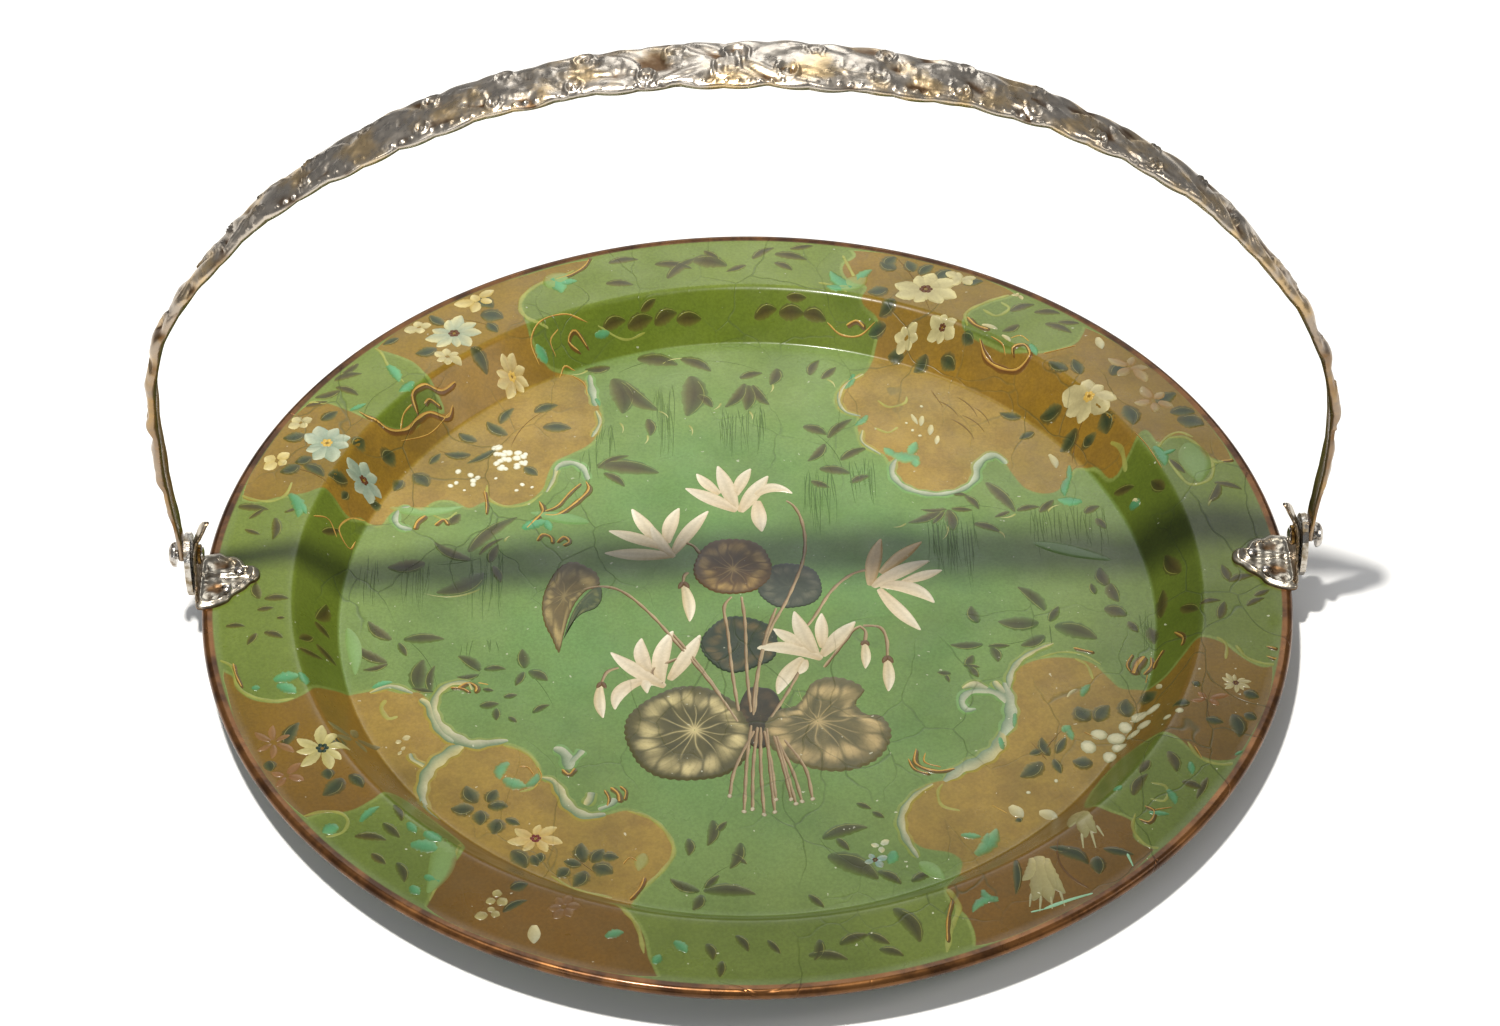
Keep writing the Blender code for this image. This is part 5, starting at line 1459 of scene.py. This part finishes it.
# %% Slate leaves
slate = Film("flower_leaves", 0.08, 0.02)
SLATE_ROWS = [
    (-84, 91, -92, 99, 4.5, .1), (-95, 88, -102, 93, 4, .1), (-97, 81, -107, 82, 4, .1),
    (-75, 103, -66, 107, 4.4, .1), (-72, 95, -61, 94, 5, .05), (-87, 97, -82, 106, 3.6, .1),
    (-88, 84, -99, 76, 3, .05), (-78, 74, -73, 69, 4, 0), (-118, 71, -112, 64, 6, .1),
    (-121, 68, -124, 62, 4, 0), (-112, 76, -108, 82, 3, 0), (-98, 150, -90, 144, 6, .1),
    (-95, 140, -86, 138, 7, .1), (-92, 136, -88, 130, 4, 0), (-112, 141, -118, 147, 4, .1),
    (-110, 122, -118, 119, 5, .1), (-98, 122, -92, 115, 5, .1), (-124, 128, -130, 124, 3, 0),
    (-155, 76, -163, 74, 5, .1), (-152, 64, -158, 61, 4.6, .1), (-156, 60, -163, 56, 5, .1),
    (-155, 60, -147, 53, 4.4, .1), (-150, 83, -144, 88, 4, 0), (-138, 70, -134, 74, 5, 0),
    (-128, 71, -124, 76, 5, 0), (-139, 56, -146, 54, 5, 0), (-132, 53, -128, 55, 4, 0),
    (-139, 52, -141, 48, 2.4, 0), (58, 172, 63, 178, 5, .1), (60, 163, 54, 168, 5.5, .1),
    (72, 168, 78, 174, 4.6, .1), (76, 160, 83, 166, 5, .1), (66, 161, 64, 168, 5, 0),
    (56, 152, 48, 150, 5.5, .1), (58, 146, 52, 141, 5, .1), (84, 153, 92, 155, 4, .1),
    (69, 127, 64, 122, 4.6, .1), (74, 124, 79, 119, 4.4, .1), (61, 128, 55, 130, 4.4, 0),
    (82, 128, 86, 124, 3.6, 0), (55, 138, 48, 137, 4, 0), (119, 104, 112, 109, 5, .1),
    (123, 101, 121, 110, 4.4, 0), (137, 84, 139, 73, 6, .1), (134, 100, 141, 107, 5, .1),
    (116, 92, 108, 93, 5, .1), (120, 83, 114, 77, 5, .1), (129, 82, 130, 74, 5.4, .1),
    (156, 76, 166, 73, 7, .1), (152, 85, 160, 92, 5, .1), (158, 82, 168, 82, 5, .1), (125, 74, 123, 78, 5, 0),
    (102, 96, 94, 99, 4, .1), (106, 88, 100, 84, 3.4, 0), (-90, -89, -94, -81, 5.4, .1),
    (-91, -91, -99, -91, 5.4, .1), (-89, -92, -89, -99, 5, 0), (-87, -91, -80, -91, 4.4, .1),
    (-87, -89, -84, -83, 4.6, 0), (-84, -96, -85, -103, 5.4, .1), (-81, -96, -76, -99, 3, 0),
    (-79, -110, -74, -118, 5.5, .1), (-72, -112, -70, -117, 4, 0), (-69, -111, -70, -116, 3.4, 0),
    (-55, -116, -56, -107, 5, .1), (-56, -117, -62, -115, 4, 0), (-55, -119, -59, -126, 5, .1),
    (-53, -118, -46, -121, 6, .1), (-53, -116, -49, -110, 5, 0), (-60, -118, -64, -122, 4.4, 0),
    (-50, -113, -44, -114, 4, 0), (113, -57, 109, -50, 6.5, .1), (115, -58, 120, -50, 5.5, .1),
    (126, -56, 126, -47, 5.5, .1), (95, -75, 87, -82, 5.6, .1), (98, -73, 96, -64, 3.6, .1),
    (99, -74, 101, -81, 3, 0), (100, -72, 104, -64, 3, 0), (112, -76, 105, -75, 5.4, .1),
    (134, -52, 133, -44, 5, .1), (96, -70, 91, -72, 3, 0), (144, -65, 138, -64, 3.6, 0),
    (157, -70, 158, -81, 5, .1), (148, -72, 154, -74, 3.4, 0), (162, -60, 167, -63, 4, 0),
    (161, -70, 165, -73, 3.6, 0), (146, -57, 148, -55, 3, 0), (94, -129, 104, -135, 4.6, .2),
    (107, -131, 107, -139, 4.6, 0), (81, -131, 80, -147, 2.6, .05), (100, -129, 92, -127, 3, 0),
    (109, -128, 119, -131, 3, 0), (-152, -77, -148, -66, 4.4, .1), (-137, -72, -133, -77, 5, 0),
    (-133, -91, -139, -99, 5.5, .1), (-138, -87, -137, -92, 4, 0), (-157, -83, -156, -88, 4, 0),
    (-131, -90, -126, -96, 4, .1), (-80, -150, -72, -145, 2.6, .1), (-78, -140, -72, -138, 4, 0),
    (85, -100, 86, -102, 2.6, 0),
]
strokes(slate, np.array(SLATE_ROWS) * [1, 1, 1, 1, 1.25, 1], "leaf", SLATE, srgb(40, 58, 30), cover=0.97,
    edge=srgb(70, 86, 54), vein=0.3, jag=0.1)
edge_lights(slate, SLATE_ROWS, srgb(132, 138, 92))
GRASS_ROWS = [
    (72, 106, 79, 97, .8, .1), (79, 108, 86, 96, .8, .1), (85, 102, 90, 92, .7, .1), (76, 96, 84, 84, 1.0, .1),
    (80, 98, 88, 88, .8, .1), (70, 112, 74, 102, .6, 0), (95, -74, 104, -60, .6, .05),
    (97, -75, 92, -66, .5, 0), (-74, -102, -64, -112, .4, 0), (-158, 58, -144, 48, .6, .1),
    (118, 70, 128, 90, .5, .1), (-83, 84, -70, 105, .5, .1), (62, 178, 74, 140, .5, .05),
    (-110, 138, -88, 132, .5, .1), (-60, -112, -50, -122, .5, 0), (-98, 78, -110, 84, .5, 0),
    (104, -145, 96, -122, 1.3, .2), (150, -74, 152, -58, .5, .1),
]
strokes(slate, GRASS_ROWS, "line", srgb(88, 62, 34), cover=0.85)
slate.finish()

# %% Blossoms and buds
flowers = Film("blossoms", 0.15)
PETAL_SHADE = srgb(170, 158, 112)
BLUE_SHADE = srgb(128, 160, 150)


def blossom(x, y, radius, petals, width, tone, edge, phase, squash, lean, heart):
    """A fan of petals that go from the edge colour at the base to tone at the tip, with six dabs of the
    heart colour in the middle where there is one."""
    rows = fan(x, y, radius, petals, width, phase, squash, lean)
    strokes(flowers, rows, "petal", edge, tone, edge=edge, vein=0.12, jag=0.06)
    if heart is not None:
        turn = np.linspace(0, 2 * np.pi, 6, endpoint=False)
        ring = 0.14 * radius
        dabs = np.stack([x + ring * np.cos(turn), y + ring * np.sin(turn), 0 * turn + 0.09 * radius], 1)
        dots(flowers, dabs, heart)


# Each row: x, y, radius, petals, petal width, tip colour, base colour, first angle, squash, lean, heart.
BLOSSOMS = [
    (70, 151, 11.5, 8, 7.0, CREAM, PETAL_SHADE, 20, .85, 0, GOLD_DARK),
    (84, 158, 8.5, 5, 4.4, CREAM, PETAL_SHADE, -20, .7, 30, None),
    (75, 132, 6.0, 6, 4.0, CREAM, PETAL_SHADE, 10, .8, 0, GOLD_DARK),
    (62, 133, 5.0, 6, 3.4, CREAM, PETAL_SHADE, 40, .8, 0, None),
    (125, 90, 9.5, 7, 6.4, CREAM, PETAL_SHADE, 15, .9, -30, GOLD),
    (142, 105, 9.0, 5, 4.2, PETAL_SHADE, srgb(150, 118, 70), -30, .8, -40, None),
    (148, 86, 8.5, 5, 4.4, PETAL_SHADE, srgb(150, 118, 70), 10, .8, -40, None),
    (-104, 130, 10.0, 9, 5.0, CREAM, srgb(150, 160, 136), 0, .9, 35, GOLD_DARK),
    (-96, 149, 9.0, 5, 4.6, CREAM, srgb(176, 152, 82), 10, .7, 35, None),
    (-106, 117, 5.5, 6, 3.4, CREAM, PETAL_SHADE, 30, .8, 0, None),
    (-83, 118, 7.0, 8, 3.6, CREAM, srgb(176, 150, 90), 5, .85, 35, GOLD),
    (-147, 71, 10.0, 8, 6.0, srgb(196, 198, 170), srgb(136, 152, 132), 5, .9, 60, GOLD),
    (-134, 60, 7.0, 7, 4.2, srgb(184, 190, 164), srgb(128, 146, 128), 25, .9, 60, GOLD_DARK),
    (-117, 134, 5.5, 4, 4.2, CREAM, PETAL_SHADE, 100, .7, 0, None),
    (-157, 82, 5.0, 4, 4.0, CREAM, PETAL_SHADE, 120, .7, 0, None),
    (-164, 62, 6.5, 4, 4.6, CREAM, srgb(186, 164, 96), 120, .6, 20, None),
    (-140, -78, 10.0, 8, 4.0, srgb(214, 204, 146), srgb(170, 160, 96), 10, .95, 0, SLATE),
    (-156, -75, 7.5, 6, 2.6, srgb(150, 112, 70), srgb(130, 96, 54), 30, 1, 0, None),
    (-151, -90, 7.0, 4, 3.0, srgb(150, 112, 72), srgb(130, 92, 52), 200, .8, 40, None),
    (-131, -66, 8.0, 5, 3.0, srgb(140, 130, 84), srgb(110, 100, 60), 50, .9, 40, None),
    (-71, -105, 8.5, 7, 3.8, srgb(218, 204, 142), srgb(190, 160, 90), -18, .85, 0, srgb(110, 40, 30)),
    (160, -56, 5.2, 10, 1.8, srgb(206, 196, 146), PETAL_SHADE, 0, .8, -30, GOLD_DARK),
    (150, -63, 7.0, 4, 2.4, srgb(160, 118, 72), srgb(140, 98, 56), 20, .5, 0, None),
    (-61, -148, 5.5, 6, 3.8, srgb(136, 104, 58), srgb(116, 84, 46), 0, .9, 0, None),
    (104, 147, 3, 3, 1.6, CREAM, PETAL_SHADE, 60, 1, 0, None),
    (-82, -144, 4.2, 3, 3.6, srgb(186, 176, 120), srgb(150, 136, 84), 60, .9, 20, None),
    (-84, -150, 4.4, 3, 3.4, srgb(186, 176, 120), srgb(150, 136, 84), 190, .6, 10, None),
    (38, -117, 4.4, 4, 2.6, PALE_GREY, BLUE_SHADE, 200, .8, 0, GOLD_DARK),
    (40, -111, 3.6, 3, 2.4, CREAM, PALE_BLUE, 40, .9, 0, None),
    (-116, -60, 3.4, 2, 2.4, CREAM, PETAL_SHADE, 40, .6, 0, None),
    (-116, -65, 2.8, 2, 1.6, CREAM, PETAL_SHADE, 60, .8, 0, None),
]
for spec in BLOSSOMS:
    blossom(*spec)
SINGLE_PETALS = [
    (110, 76, 112, 68, 3.0, .1), (131, 122, 132, 115, 3.6, 0), (66, 98, 65, 92, 2.2, 0),
    (69, 93, 68, 87, 2.4, 0), (71, 87, 70, 82, 2.0, 0), (83, -94.5, 87, -100, 4.8, 0),
    (92, -98, 98, -101, 4.8, .1), (-70, -155, -70, -163, 4.4, 0), (62, 99, 64, 93, 1.8, 0),
    (89, 130, 95, 127, 2.2, .1), (96, 124, 99, 120, 2.0, .1), (137, 46, 139, 42, 2.0, 0),
    (136, -44, 137, -48, 1.8, 0), (106, -46, 110, -42, 1.3, .1),
]
strokes(flowers, SINGLE_PETALS, "petal", CREAM, PALE_GREY, edge=PETAL_SHADE)
BELLS = [
    (88, -130, 85, -150, 6.5, .08), (89, -130, 91, -151, 7.0, -.03), (91, -131, 96, -147, 5.5, -.12),
    (86, -131, 82, -141, 4.5, .2), (102, -106, 104, -124, 6.0, .04), (104, -107, 108, -122, 5.0, -.08),
    (101, -108, 99, -119, 4.0, .1),
]
strokes(flowers, BELLS, "petal", srgb(184, 172, 116), srgb(150, 146, 104), edge=srgb(140, 130, 84), jag=0.1)
FRINGE = [
    (85, -146, 84, -152, 1.2, 0), (88, -147, 87, -154, 1.2, 0), (91, -147, 91, -153, 1.2, 0),
    (94, -145, 95, -152, 1.2, 0), (103, -121, 103, -128, 1.2, 0), (106, -120, 107, -128, 1.2, 0),
    (108, -118, 110, -123, 1.2, 0),
]
strokes(flowers, FRINGE, "line", srgb(170, 166, 126))
BERRIES = [
    (111, -69, 3.0), (115, -63.5, 2.8), (120.5, -65.5, 3.0), (124, -60.5, 2.6), (129, -57, 2.8),
    (133, -57.5, 2.4), (129.5, -64, 2.4), (117.5, -74, 2.6), (121, -70, 2.4), (136, -69, 1.4), (140, -68, 1.4),
    (126, -66, 2.2), (89.5, -89, .8), (99, -84, .8), (62, 90, .7), (64.5, 87, .7), (66, 103, .7), (60, 94, .6),
]
dots(flowers, BERRIES, srgb(214, 208, 172), srgb(150, 150, 112))
turn = chance.uniform(0, 2 * np.pi, 26)
reach = np.sqrt(chance.uniform(0, 1, 26))
size = chance.uniform(1.0, 1.75, 26)
cluster = np.stack([-84 + 8.5 * reach * np.cos(turn), 79 + 6.5 * reach * np.sin(turn), size], 1)
strays = [
    (-101.5, 72, 1.3), (-97, 70, 1.3), (-96, 67, 1.4), (-94.5, 68.5, 1.2), (-102, 66, 1.0), (-104, 64.5, 1.1),
    (-96, 65, 1.2), (-78.5, 64.5, 1.0), (-80.5, 61.5, .8), (-75, 63, .7), (-88, 68, .7), (-99, 62, .6),
]
dots(flowers, np.concatenate([cluster, strays]), srgb(236, 232, 214), srgb(176, 168, 126))
flowers.finish()

# %% [markdown]
# ## The cyclamen
# The middle of the tray carries a clump of cyclamen: cut stems below, two large marbled leaves in front,
# smaller ones behind in shade, a curled leaf at the left, five blossoms on long arching stems, and four
# buds. A leaf is a fan grid whose outer edge is a closed curve with small scallops; its marbling is a
# formula of the part of the way out and of the angle.

# %% Cyclamen leaves
def patch(film, middle, border, paint, rings=40, spokes=220, scallop=0.0, teeth=36):
    """A fan grid from a middle point to a closed border; paint gives the colour from the part of the way
    out and the angle."""
    edge = even_path(border, spokes, closed=True)
    edge = np.concatenate([edge, edge[:1]])
    angle = np.linspace(0, 2 * np.pi, spokes + 1)
    edge = middle + (edge - middle) * (1 + scallop * np.abs(np.sin(angle * teeth / 2)))[:, None]
    part = np.concatenate([np.linspace(0.01, 0.94, rings - 2), [0.975, 1.0]])[:, None]
    x = middle[0] + part * (edge[:, 0] - middle[0])
    y = middle[1] + part * (edge[:, 1] - middle[1])
    height = np.where(part < 0.96, 1.0, np.where(part < 0.99, 0.6, 0.0)) + 0 * x
    turn = np.arctan2(y - middle[1], x - middle[0])
    tone = paint(part + 0 * x, turn)
    film.add(x[None], y[None], height[None], tone[None])


def marbled(light, mid, dark, veins, seed, heart=0.6):
    """Marbling: a star of pale veins on a dark middle, a pale band of rounded cells parted by dark veins,
    and a brown margin."""
    def paint(part, turn):
        sway = 0.55 * np.sin(turn * 3 + seed) + 0.5 * np.sin(turn * 2 + 3 * seed)
        spoke = np.abs(np.sin(turn * veins / 2 + seed + sway + 0.5 * np.sin(part * 7 + turn * 4)))
        lobe = 0.05 * np.sin(turn * 3 + seed) + 0.04 * np.sin(turn * 5 + 2 * seed) + 0.03 * np.sin(turn * 11 + seed)
        cell = np.clip(1.15 - np.exp(-((spoke / 0.30) ** 2)), 0, 1)
        width = 0.08 + 0.08 * spoke
        band = np.exp(-np.abs((part - 0.72 - lobe) / width) ** 2.6) * cell
        patch_tone = 0.5 + 0.5 * np.sin(turn * 2 + 5 * part + seed) * np.cos(turn * 7 + 9 * part)
        tone = mix(0.35 + 0.4 * patch_tone, dark, mid)
        bright = 0.62 + 0.38 * np.sin(turn * 4 + 2 * seed) * np.sin(turn * 9 + 6 * part)
        tone = mix(np.clip(band * bright, 0, 1), tone, light)
        rays = np.exp(-((spoke / 0.16) ** 2)) * np.exp(-((part / 0.55) ** 4)) * np.clip(part * 9, 0, 1)
        tone = mix(0.75 * heart * rays, tone, light)
        core = np.exp(-((part / (0.10 + 0.10 * (1 - spoke))) ** 2))
        tone = mix(heart * core, tone, light)
        web = np.exp(-((np.sin(turn * veins * 1.5 + 14 * part) / 0.22) ** 2)) * (part > 0.5) * (part < 0.93)
        tone = mix(0.25 * web, tone, dark)
        return mix(0.85 * np.clip((part - 0.86) / 0.08, 0, 1), tone, (dark + mid) / 2)
    return paint


def leaf_border(x, y, rx, ry, notch=270.0, depth=0.1):
    """Eighteen points round a rounded leaf that is drawn in towards the notch where its stem joins."""
    turn = np.radians(np.arange(0, 360, 360 / 18))
    near = np.cos(turn - math.radians(notch))
    size = 1 - depth * np.exp((near - 1) * 14) + 0.025 * np.cos(turn * 5 + x)
    return np.stack([x + rx * size * np.cos(turn), y + ry * size * np.sin(turn)], 1)


back_leaves = Film("cyclamen_back_leaves", 0.07, 0.02)
patch(back_leaves, np.array([15.0, 10.0]), leaf_border(15, 10, 11, 11.5),
    marbled(srgb(92, 92, 74), srgb(66, 72, 56), srgb(44, 52, 40), 9, 1.0, .2), scallop=.03)
patch(back_leaves, np.array([-3.0, -18.0]), leaf_border(-3, -18, 13, 13.5, 300),
    marbled(srgb(98, 84, 48), srgb(48, 60, 34), srgb(28, 40, 24), 11, 2.0, .1), scallop=.03)
patch(back_leaves, np.array([3.0, -52.0]), leaf_border(3, -52, 7.5, 15, 90),
    marbled(srgb(84, 68, 40), srgb(58, 52, 28), srgb(38, 34, 20), 9, 0.5, .3))
back_leaves.finish()
front_leaves = Film("cyclamen_leaves", 0.11, 0.02)
patch(front_leaves, np.array([-4.5, 19.0]), leaf_border(-4.5, 20, 13.5, 14.5, 270, .12),
    marbled(srgb(168, 138, 78), srgb(104, 76, 36), srgb(64, 50, 26), 12, 0.3, .8), scallop=.03)
patch(front_leaves, np.array([-19.0, -58.0]), leaf_border(-20.5, -59.5, 21.5, 21.5, 20, .1),
    marbled(srgb(206, 190, 134), srgb(96, 88, 44), srgb(44, 48, 24), 15, 1.2, .9), scallop=.025, teeth=48)
right_leaf = [
    (6, -66), (4, -57), (8, -50), (15, -47.5), (18, -43), (21, -37), (27, -34.5), (34, -36.5), (38, -41),
    (35, -47), (38, -52), (43, -53), (46, -60), (44, -68), (39, -74), (31, -77.5), (22, -77), (13, -73),
]
patch(front_leaves, np.array([22.0, -55.0]), np.array(right_leaf, float),
    marbled(srgb(194, 170, 118), srgb(118, 106, 64), srgb(58, 62, 38), 14, 2.2, .8), scallop=.025, teeth=44)
curl_left = [
    (-60, 24), (-65, 21), (-69, 12), (-70.5, 3), (-69.5, -6), (-67, -13), (-64.5, -20), (-63, -12), (-61.5, -4),
    (-59, 4), (-55, 10), (-51, 12.5), (-52, 18), (-55, 21),
]
patch(front_leaves, np.array([-63.0, 7.0]), np.array(curl_left, float),
    marbled(srgb(160, 140, 86), srgb(106, 88, 44), srgb(74, 66, 36), 11, 0.9, .5), scallop=.03)
curl_right = [(-51, 12), (-50, 6), (-52, 1), (-57, -2), (-61, -8), (-63, -14), (-60, -1), (-56, 7)]
patch(front_leaves, np.array([-56.0, 3.5]), np.array(curl_right, float),
    marbled(srgb(104, 106, 58), srgb(72, 84, 44), srgb(40, 52, 30), 7, 0.9, .2), scallop=.02)
strokes(front_leaves, [(-12, -58, -4.5, -54.5, 1.3, .1), (-13, -60, -9, -57, .8, 0)], "comma", srgb(220, 214, 190))
radial = np.radians(np.arange(0, 360, 27.7))
for x, y, size in ((-19, -58, 17), (22, -55, 17), (-4.5, 19, 11)):
    rows = np.stack([x + 0 * radial, y + 0 * radial, x + size * np.cos(radial), y + size * np.sin(radial),
        0 * radial + 0.45, 0 * radial + .06], 1)
    strokes(front_leaves, rows, "line", srgb(214, 196, 140), cover=0.5)
front_leaves.finish()

# %% Cyclamen stems
STEM = srgb(172, 150, 116)
STEM_DARK = srgb(104, 78, 52)
stems = Film("cyclamen_stems", 0.16)
STEM_PATHS = [
    [(14, 54.5), (17.5, 51), (20, 44), (21, 33), (19.5, 21), (14, 4), (8, -10), (4, -25), (1.5, -40), (0.5,
      -55)],
    [(-21, 33), (-18, 31), (-15.8, 27)], [(43, 18), (36, 15), (29, 7), (23, -5), (20, -10)],
    [(-60, 9), (-50, 11.5), (-42, 8), (-33, -3), (-25, -16), (-15, -33), (-9, -45), (-3, -58)],
    [(25, -30), (33, -17), (36, -12), (39, -10)], [(38, -10), (40, -13), (39.5, -18)],
    [(39, -10), (45, -11), (47, -17), (46.8, -25)], [(-20, 18), (-21.5, 16), (-22, 12)],
    [(-44, -28), (-48, -30), (-50, -35)], [(-5, 6), (-8, 0), (-7, -12), (-6, -30), (-4, -52)],
    [(-2, 6), (-1, -8), (-1, -30), (0, -52)], [(10, 0), (6, -14), (3, -30), (1, -52)],
    [(-29, -37), (-33, -30), (-24, -24)], [(19, -26), (13, -40), (6, -54)],
    [(-26, -12), (-18, -26), (-10, -42)],
]
LOWER_STEMS = [
    [(0, -55), (-2, -72), (-3.5, -95)], [(2, -56), (0, -75), (-0.7, -94)], [(3, -56), (2.5, -76), (3, -96.5)],
    [(5, -56), (5.5, -76), (6.5, -95.5)], [(4, -58), (6, -74), (7, -90)], [(7, -60), (10, -76), (12, -90)],
    [(8, -60), (11, -78), (13.5, -92)], [(8, -62), (13, -78), (15.5, -91)], [(10, -62), (17, -76), (19, -90)],
    [(1, -58), (-6, -76), (-8, -88)],
]
for path in STEM_PATHS + LOWER_STEMS:
    ribbon(stems, path, 1.25, STEM, srgb(186, 166, 132), edge=STEM_DARK, taper=0.3)
dots(stems, [(*path[-1], 0.9) for path in LOWER_STEMS], srgb(196, 186, 160), srgb(140, 120, 90))
stems.finish()

# %% [markdown]
# Each blossom hangs head down with its petals swept up. A petal is a stroke with its own bow: warm white,
# tan at its base and along one edge, with a fine vein. In runs of seven each lies a little higher than the
# one before, so that petals which cross don't share a surface.

# %% Cyclamen petals
PETALS = [
    # base x, y, tip x, y, via x, y, width
    (-2.5, 57, 3.2, 71.2, -.5, 64, 4.4), (-8.5, 58, -16.6, 69, -12, 62, 4.0), (-3, 50, -9, 73.2, -6, 62, 5.4),
    (-1, 48.5, 9.3, 67.3, 4, 58.5, 5.4), (-3, 49, -21, 61.3, -12.5, 56, 5.4),
    (3.6, 54.5, 17.8, 57, 11, 60.5, 4.4), (5, 53.5, 6.1, 37.5, 5.2, 46, 5.2),
    (-29, 32, -39.8, 51.3, -34.5, 41, 5.0), (-27, 33, -22.6, 51.2, -26, 42, 5.0),
    (-25, 27.5, -12.2, 49.5, -18, 41, 5.0), (-29, 30.5, -48.2, 39.8, -38, 35.5, 5.0),
    (-26, 26.5, -49.7, 28.3, -40, 27.5, 5.6), (-25, 26, -33, 43, -30.5, 35, 4.4),
    (47, 16, 62.2, 31.6, 56, 26, 4.6), (43, 10, 47.8, 33.8, 45, 24, 5.2), (44, 9, 64.6, 21.7, 56, 18, 5.4),
    (54, 11, 68.4, 16.8, 61, 14, 4.2), (46, 9, 64.6, 0, 58, 7, 5.6), (46, 7.5, 59.2, -13.2, 52, -3, 5.0),
    (-33, -31, -36.3, -13.8, -36.5, -22, 5.0), (-29, -37, -47.3, -20.3, -40, -28, 5.2),
    (-29.5, -36, -25.3, -10.2, -29.5, -22, 5.6), (-27, -34, -16.2, -12.5, -20.5, -22, 5.2),
    (-34.5, -34.8, -45.4, -48.4, -43, -39, 5.0), (-29, -38, -34.5, -41, -38, -37, 4.6),
    (25, -20, 25.4, -3.2, 25, -12, 4.4), (25, -24, 37, -7.6, 31, -15, 5.4), (23, -24, 15.9, -1.9, 18, -11, 5.6),
    (19, -20.5, 8.2, -10.5, 13.5, -15, 4.6), (24, -26, 1, -20.5, 10, -19.6, 5.4),
    (18, -25.5, 9, -42.5, 12, -34, 5.0), (19, -26, 16, -33, 18, -30, 3.0),
]
PETAL_LIFT, PETAL_STEP, PETAL_RUN = 0.18, 0.012, 7
# painted shadow: the two petals that the handle's shadow crosses get tan tips and edges instead of white
SHADOWED_PETALS = (13, 14)
petals = Film("cyclamen_petals", PETAL_LIFT)
WHITE = srgb(232, 224, 204)
for k, (x0, y0, x1, y1, xv, yv, width) in enumerate(PETALS):
    length = math.hypot(x1 - x0, y1 - y0)
    bend = ((xv - (x0 + x1) / 2) * -(y1 - y0) + (yv - (y0 + y1) / 2) * (x1 - x0)) / length**2
    petals.lift = PETAL_LIFT + PETAL_STEP * (k % PETAL_RUN)
    x0, y0 = x0 - 0.05 * (x1 - x0), y0 - 0.05 * (y1 - y0)
    # painted shadow: tan colours for the petals under the handle's shadow
    warm = k in SHADOWED_PETALS
    strokes(petals, [(x0, y0, x1, y1, 1.12 * width, bend)], "petal", srgb(190, 168, 130),
        srgb(196, 168, 122) if warm else WHITE, edge=srgb(176, 150, 108) if warm else srgb(206, 190, 160), along=22,
        vein=0.14)
BUDS = [
    (39.3, -18, 39, -31, 3.6, .03), (46.5, -26, 46.2, -42, 4.4, .03), (-22, 12, -20, -7, 4.6, .05),
    (-50.3, -36, -49.3, -52, 4.2, -.05),
]
strokes(petals, BUDS, "petal", srgb(206, 190, 150), WHITE, edge=srgb(190, 172, 134), vein=0.2, along=20)
CAPS = [
    (39.5, -17, 38.2, -20, 1.8, 0), (39.5, -17, 40.8, -20, 1.8, 0), (46.8, -24.5, 45, -28.5, 2, 0),
    (46.8, -24.5, 48.6, -28.5, 2, 0), (-21.8, 13.5, -23.6, 9.5, 2, 0), (-21.8, 13.5, -19.8, 9.5, 2, 0),
    (-50, -34.5, -51.6, -38, 1.8, 0), (-50, -34.5, -48.4, -38, 1.8, 0),
]
strokes(petals, CAPS, "leaf", STEM_DARK, srgb(110, 84, 56))
petals.finish()
